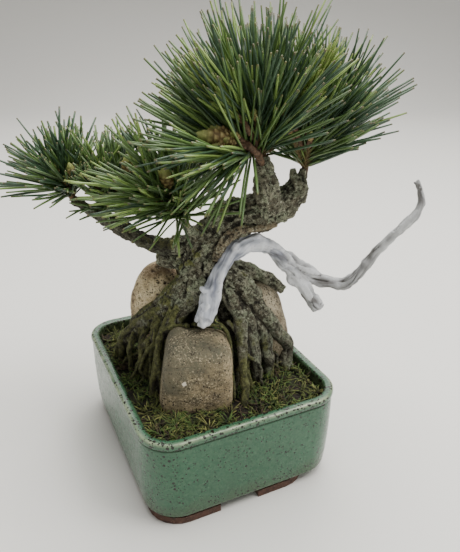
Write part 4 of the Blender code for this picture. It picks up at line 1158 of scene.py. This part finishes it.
CANDLE_NEEDLES = 150
TWIG_SHAPE = (1.0, 1.0, 1.0, 1.0, 1.1, 1.15)
twigs, buds, candles = [], [], []
for stem, tips, *_, chance, candle in TUFTS.values():
    starts = np.concatenate([stem[:-1], np.repeat(stem[-1:], len(tips), axis=0)])
    ends = np.concatenate([stem[1:], tips])
    if candle is not None:
        starts = np.concatenate([starts, stem[-1:], candle[:1]])
        ends = np.concatenate([ends, candle])
        out = (candle[1] - candle[0]) / np.linalg.norm(candle[1] - candle[0])
        share = chance.uniform(0.0, 1.0, CANDLE_NEEDLES)
        turn = chance.uniform(0, 6.28, CANDLE_NEEDLES)
        candles.append((candle[0] + (candle[1] - candle[0]) * share[:, None],
                        around(out, np.radians(17) * (1.1 - 0.6 * share), turn),
                        chance.uniform(15, 24, CANDLE_NEEDLES),
                        chance.uniform(0.42, 0.55, CANDLE_NEEDLES)))
    length = np.linalg.norm(ends - starts, axis=-1)
    thick = np.where(np.arange(len(starts)) < len(stem) - 1, 1.8, 1.3)
    twigs.append((starts, (ends - starts) / length[:, None], length, thick))
    out = unit(tips - stem[-1])
    buds.append((tips - out * 1.0, out, chance.uniform(6.0, 9.0, len(tips)),
                 chance.uniform(1.6, 2.2, len(tips))))
buds.append((bud_spots, bud_ways, BIG_BUDS[:, 6], BIG_BUDS[:, 7]))
buds.append((bud_spots[:1] + [[1, 2, 1], [2, -1, -2], [1, 1, -2]],
             bud_ways[:1] + [[0, 0.3, 0.3], [0.1, -0.2, 0.2], [0, 0.1, -0.35]],
             np.array([9.0, 9.0, 8.0]), np.array([2.4, 2.4, 2.2])))

starts, ways, spans, widths = joined(twigs)
points, faces = rods(starts, ways, np.zeros_like(starts), spans, widths, TWIG_SHAPE, 8)
points += 0.22 * grain(points, 1.3, 61)[:, None] * [0.7, 0.7, 0.3]
rough_twig = new_material("rough_twig", 0.85)[0]
twig_tone = [700.0, 4.0, (0.35, (0.042, 0.025, 0.014)), (0.65, (0.185, 0.105, 0.055))]
finish_piece(mesh_object("twigs", settled(points), faces),
             surface(rough_twig, twig_tone, [1500.0, 3.0], 0.0006, 0.9), "bark")

points, faces, edge, along = spindles(*joined(buds))
winter_buds = mesh_object("winter_buds", settled(points), faces)
paint(winter_buds, "edge", edge)
paint(winter_buds, "along", along)
winter_bud, bud_tree = new_material("winter_bud", 0.65)
bud_tone = layered(bud_tree, ["edge", (0.1, (0.15, 0.096, 0.036)), (0.5, (0.33, 0.24, 0.09)),
                              (0.95, (0.58, 0.49, 0.22))],
                   (["along", (0.5, 0.0), (0.8, 0.9)], (0.33, 0.37, 0.11)))
finish_piece(winter_buds, surface(winter_bud, bud_tone, [1400.0, 3.0], 0.0004, 0.8), "needles")

starts, ways, spans, widths = joined(candles)
points, faces = rods(starts, ways, np.zeros_like(starts), spans, widths, NEEDLE_SHAPE)
new_shoots = mesh_object("new_shoots", settled(points), faces)
paint_along(new_shoots, NEEDLE_SHAPE, 0.1)
finish_piece(new_shoots, needle_material("needle_new", (0.13, 0.205, 0.036),
                                         (0.24, 0.33, 0.075)), "needles")


# The stage: a pale floor that sweeps up behind, soft light from above, and the camera.
turn = np.linspace(0, np.pi / 2, 24)
bend = np.stack([1.3 + 0.9 * np.sin(turn), 0.9 - 0.9 * np.cos(turn)], axis=-1)
sweep = np.concatenate([[[-3.0, 0.0]], bend, [[2.2, 4.0]]])
rows = np.stack([np.stack([np.full(len(sweep), side), *sweep.T], axis=-1) for side in (-4.0, 4.0)])
step, count = np.arange(len(sweep) - 1), len(sweep)
floor = mesh_object("floor", (rows @ about_z(TREE_TURN)).reshape(-1, 3),
                    np.stack([step, step + count, step + count + 1, step + 1], axis=-1))
pale, pale_tree = new_material("pale_floor", 0.9)
pale_tree.nodes["Principled BSDF"].inputs["Base Color"].default_value = (0.74, 0.73, 0.7, 1)
floor.data.materials.append(pale)
floor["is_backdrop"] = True

world = bpy.context.scene.world or bpy.data.worlds.new("studio")
bpy.context.scene.world = world
world.use_nodes = True
world.node_tree.nodes["Background"].inputs["Color"].default_value = (1.0, 0.99, 0.96, 1)
world.node_tree.nodes["Background"].inputs["Strength"].default_value = 0.5

# Square area lights that face the middle of the plant.
for name, place, size, power in (("top", (0.15, 0.05, 1.1), 0.8, 17.0),
                                 ("key", (0.45, -0.45, 0.95), 0.4, 6.0),
                                 ("wash", (0.5, 0.9, 1.2), 1.2, 14.0)):
    light = bpy.data.lights.new(name, "AREA")
    light.size, light.energy = size, power
    light.color = (1.0, 0.985, 0.95)
    lamp = bpy.data.objects.new(name, light)
    bpy.context.scene.collection.objects.link(lamp)
    lamp.location = place
    away = np.array(place) - [0, 0, 0.12]
    lamp.rotation_euler = (math.atan2(math.hypot(away[0], away[1]), away[2]), 0,
                           math.atan2(away[0], -away[1]))

camera = bpy.data.cameras.new("photo_view")
camera.sensor_width = 36.0
camera.lens = 557.42 / 552 * 36.0
camera.clip_start = 0.01
eye = bpy.data.objects.new("photo_view", camera)
bpy.context.scene.collection.objects.link(eye)
eye.location = POT_MIDDLE + [-0.1034, -0.2615, 0.2325]
eye.rotation_euler = (math.radians(90 - 24.455), math.radians(0.133), math.radians(-24.953))
bpy.context.scene.camera = eye

low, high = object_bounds()
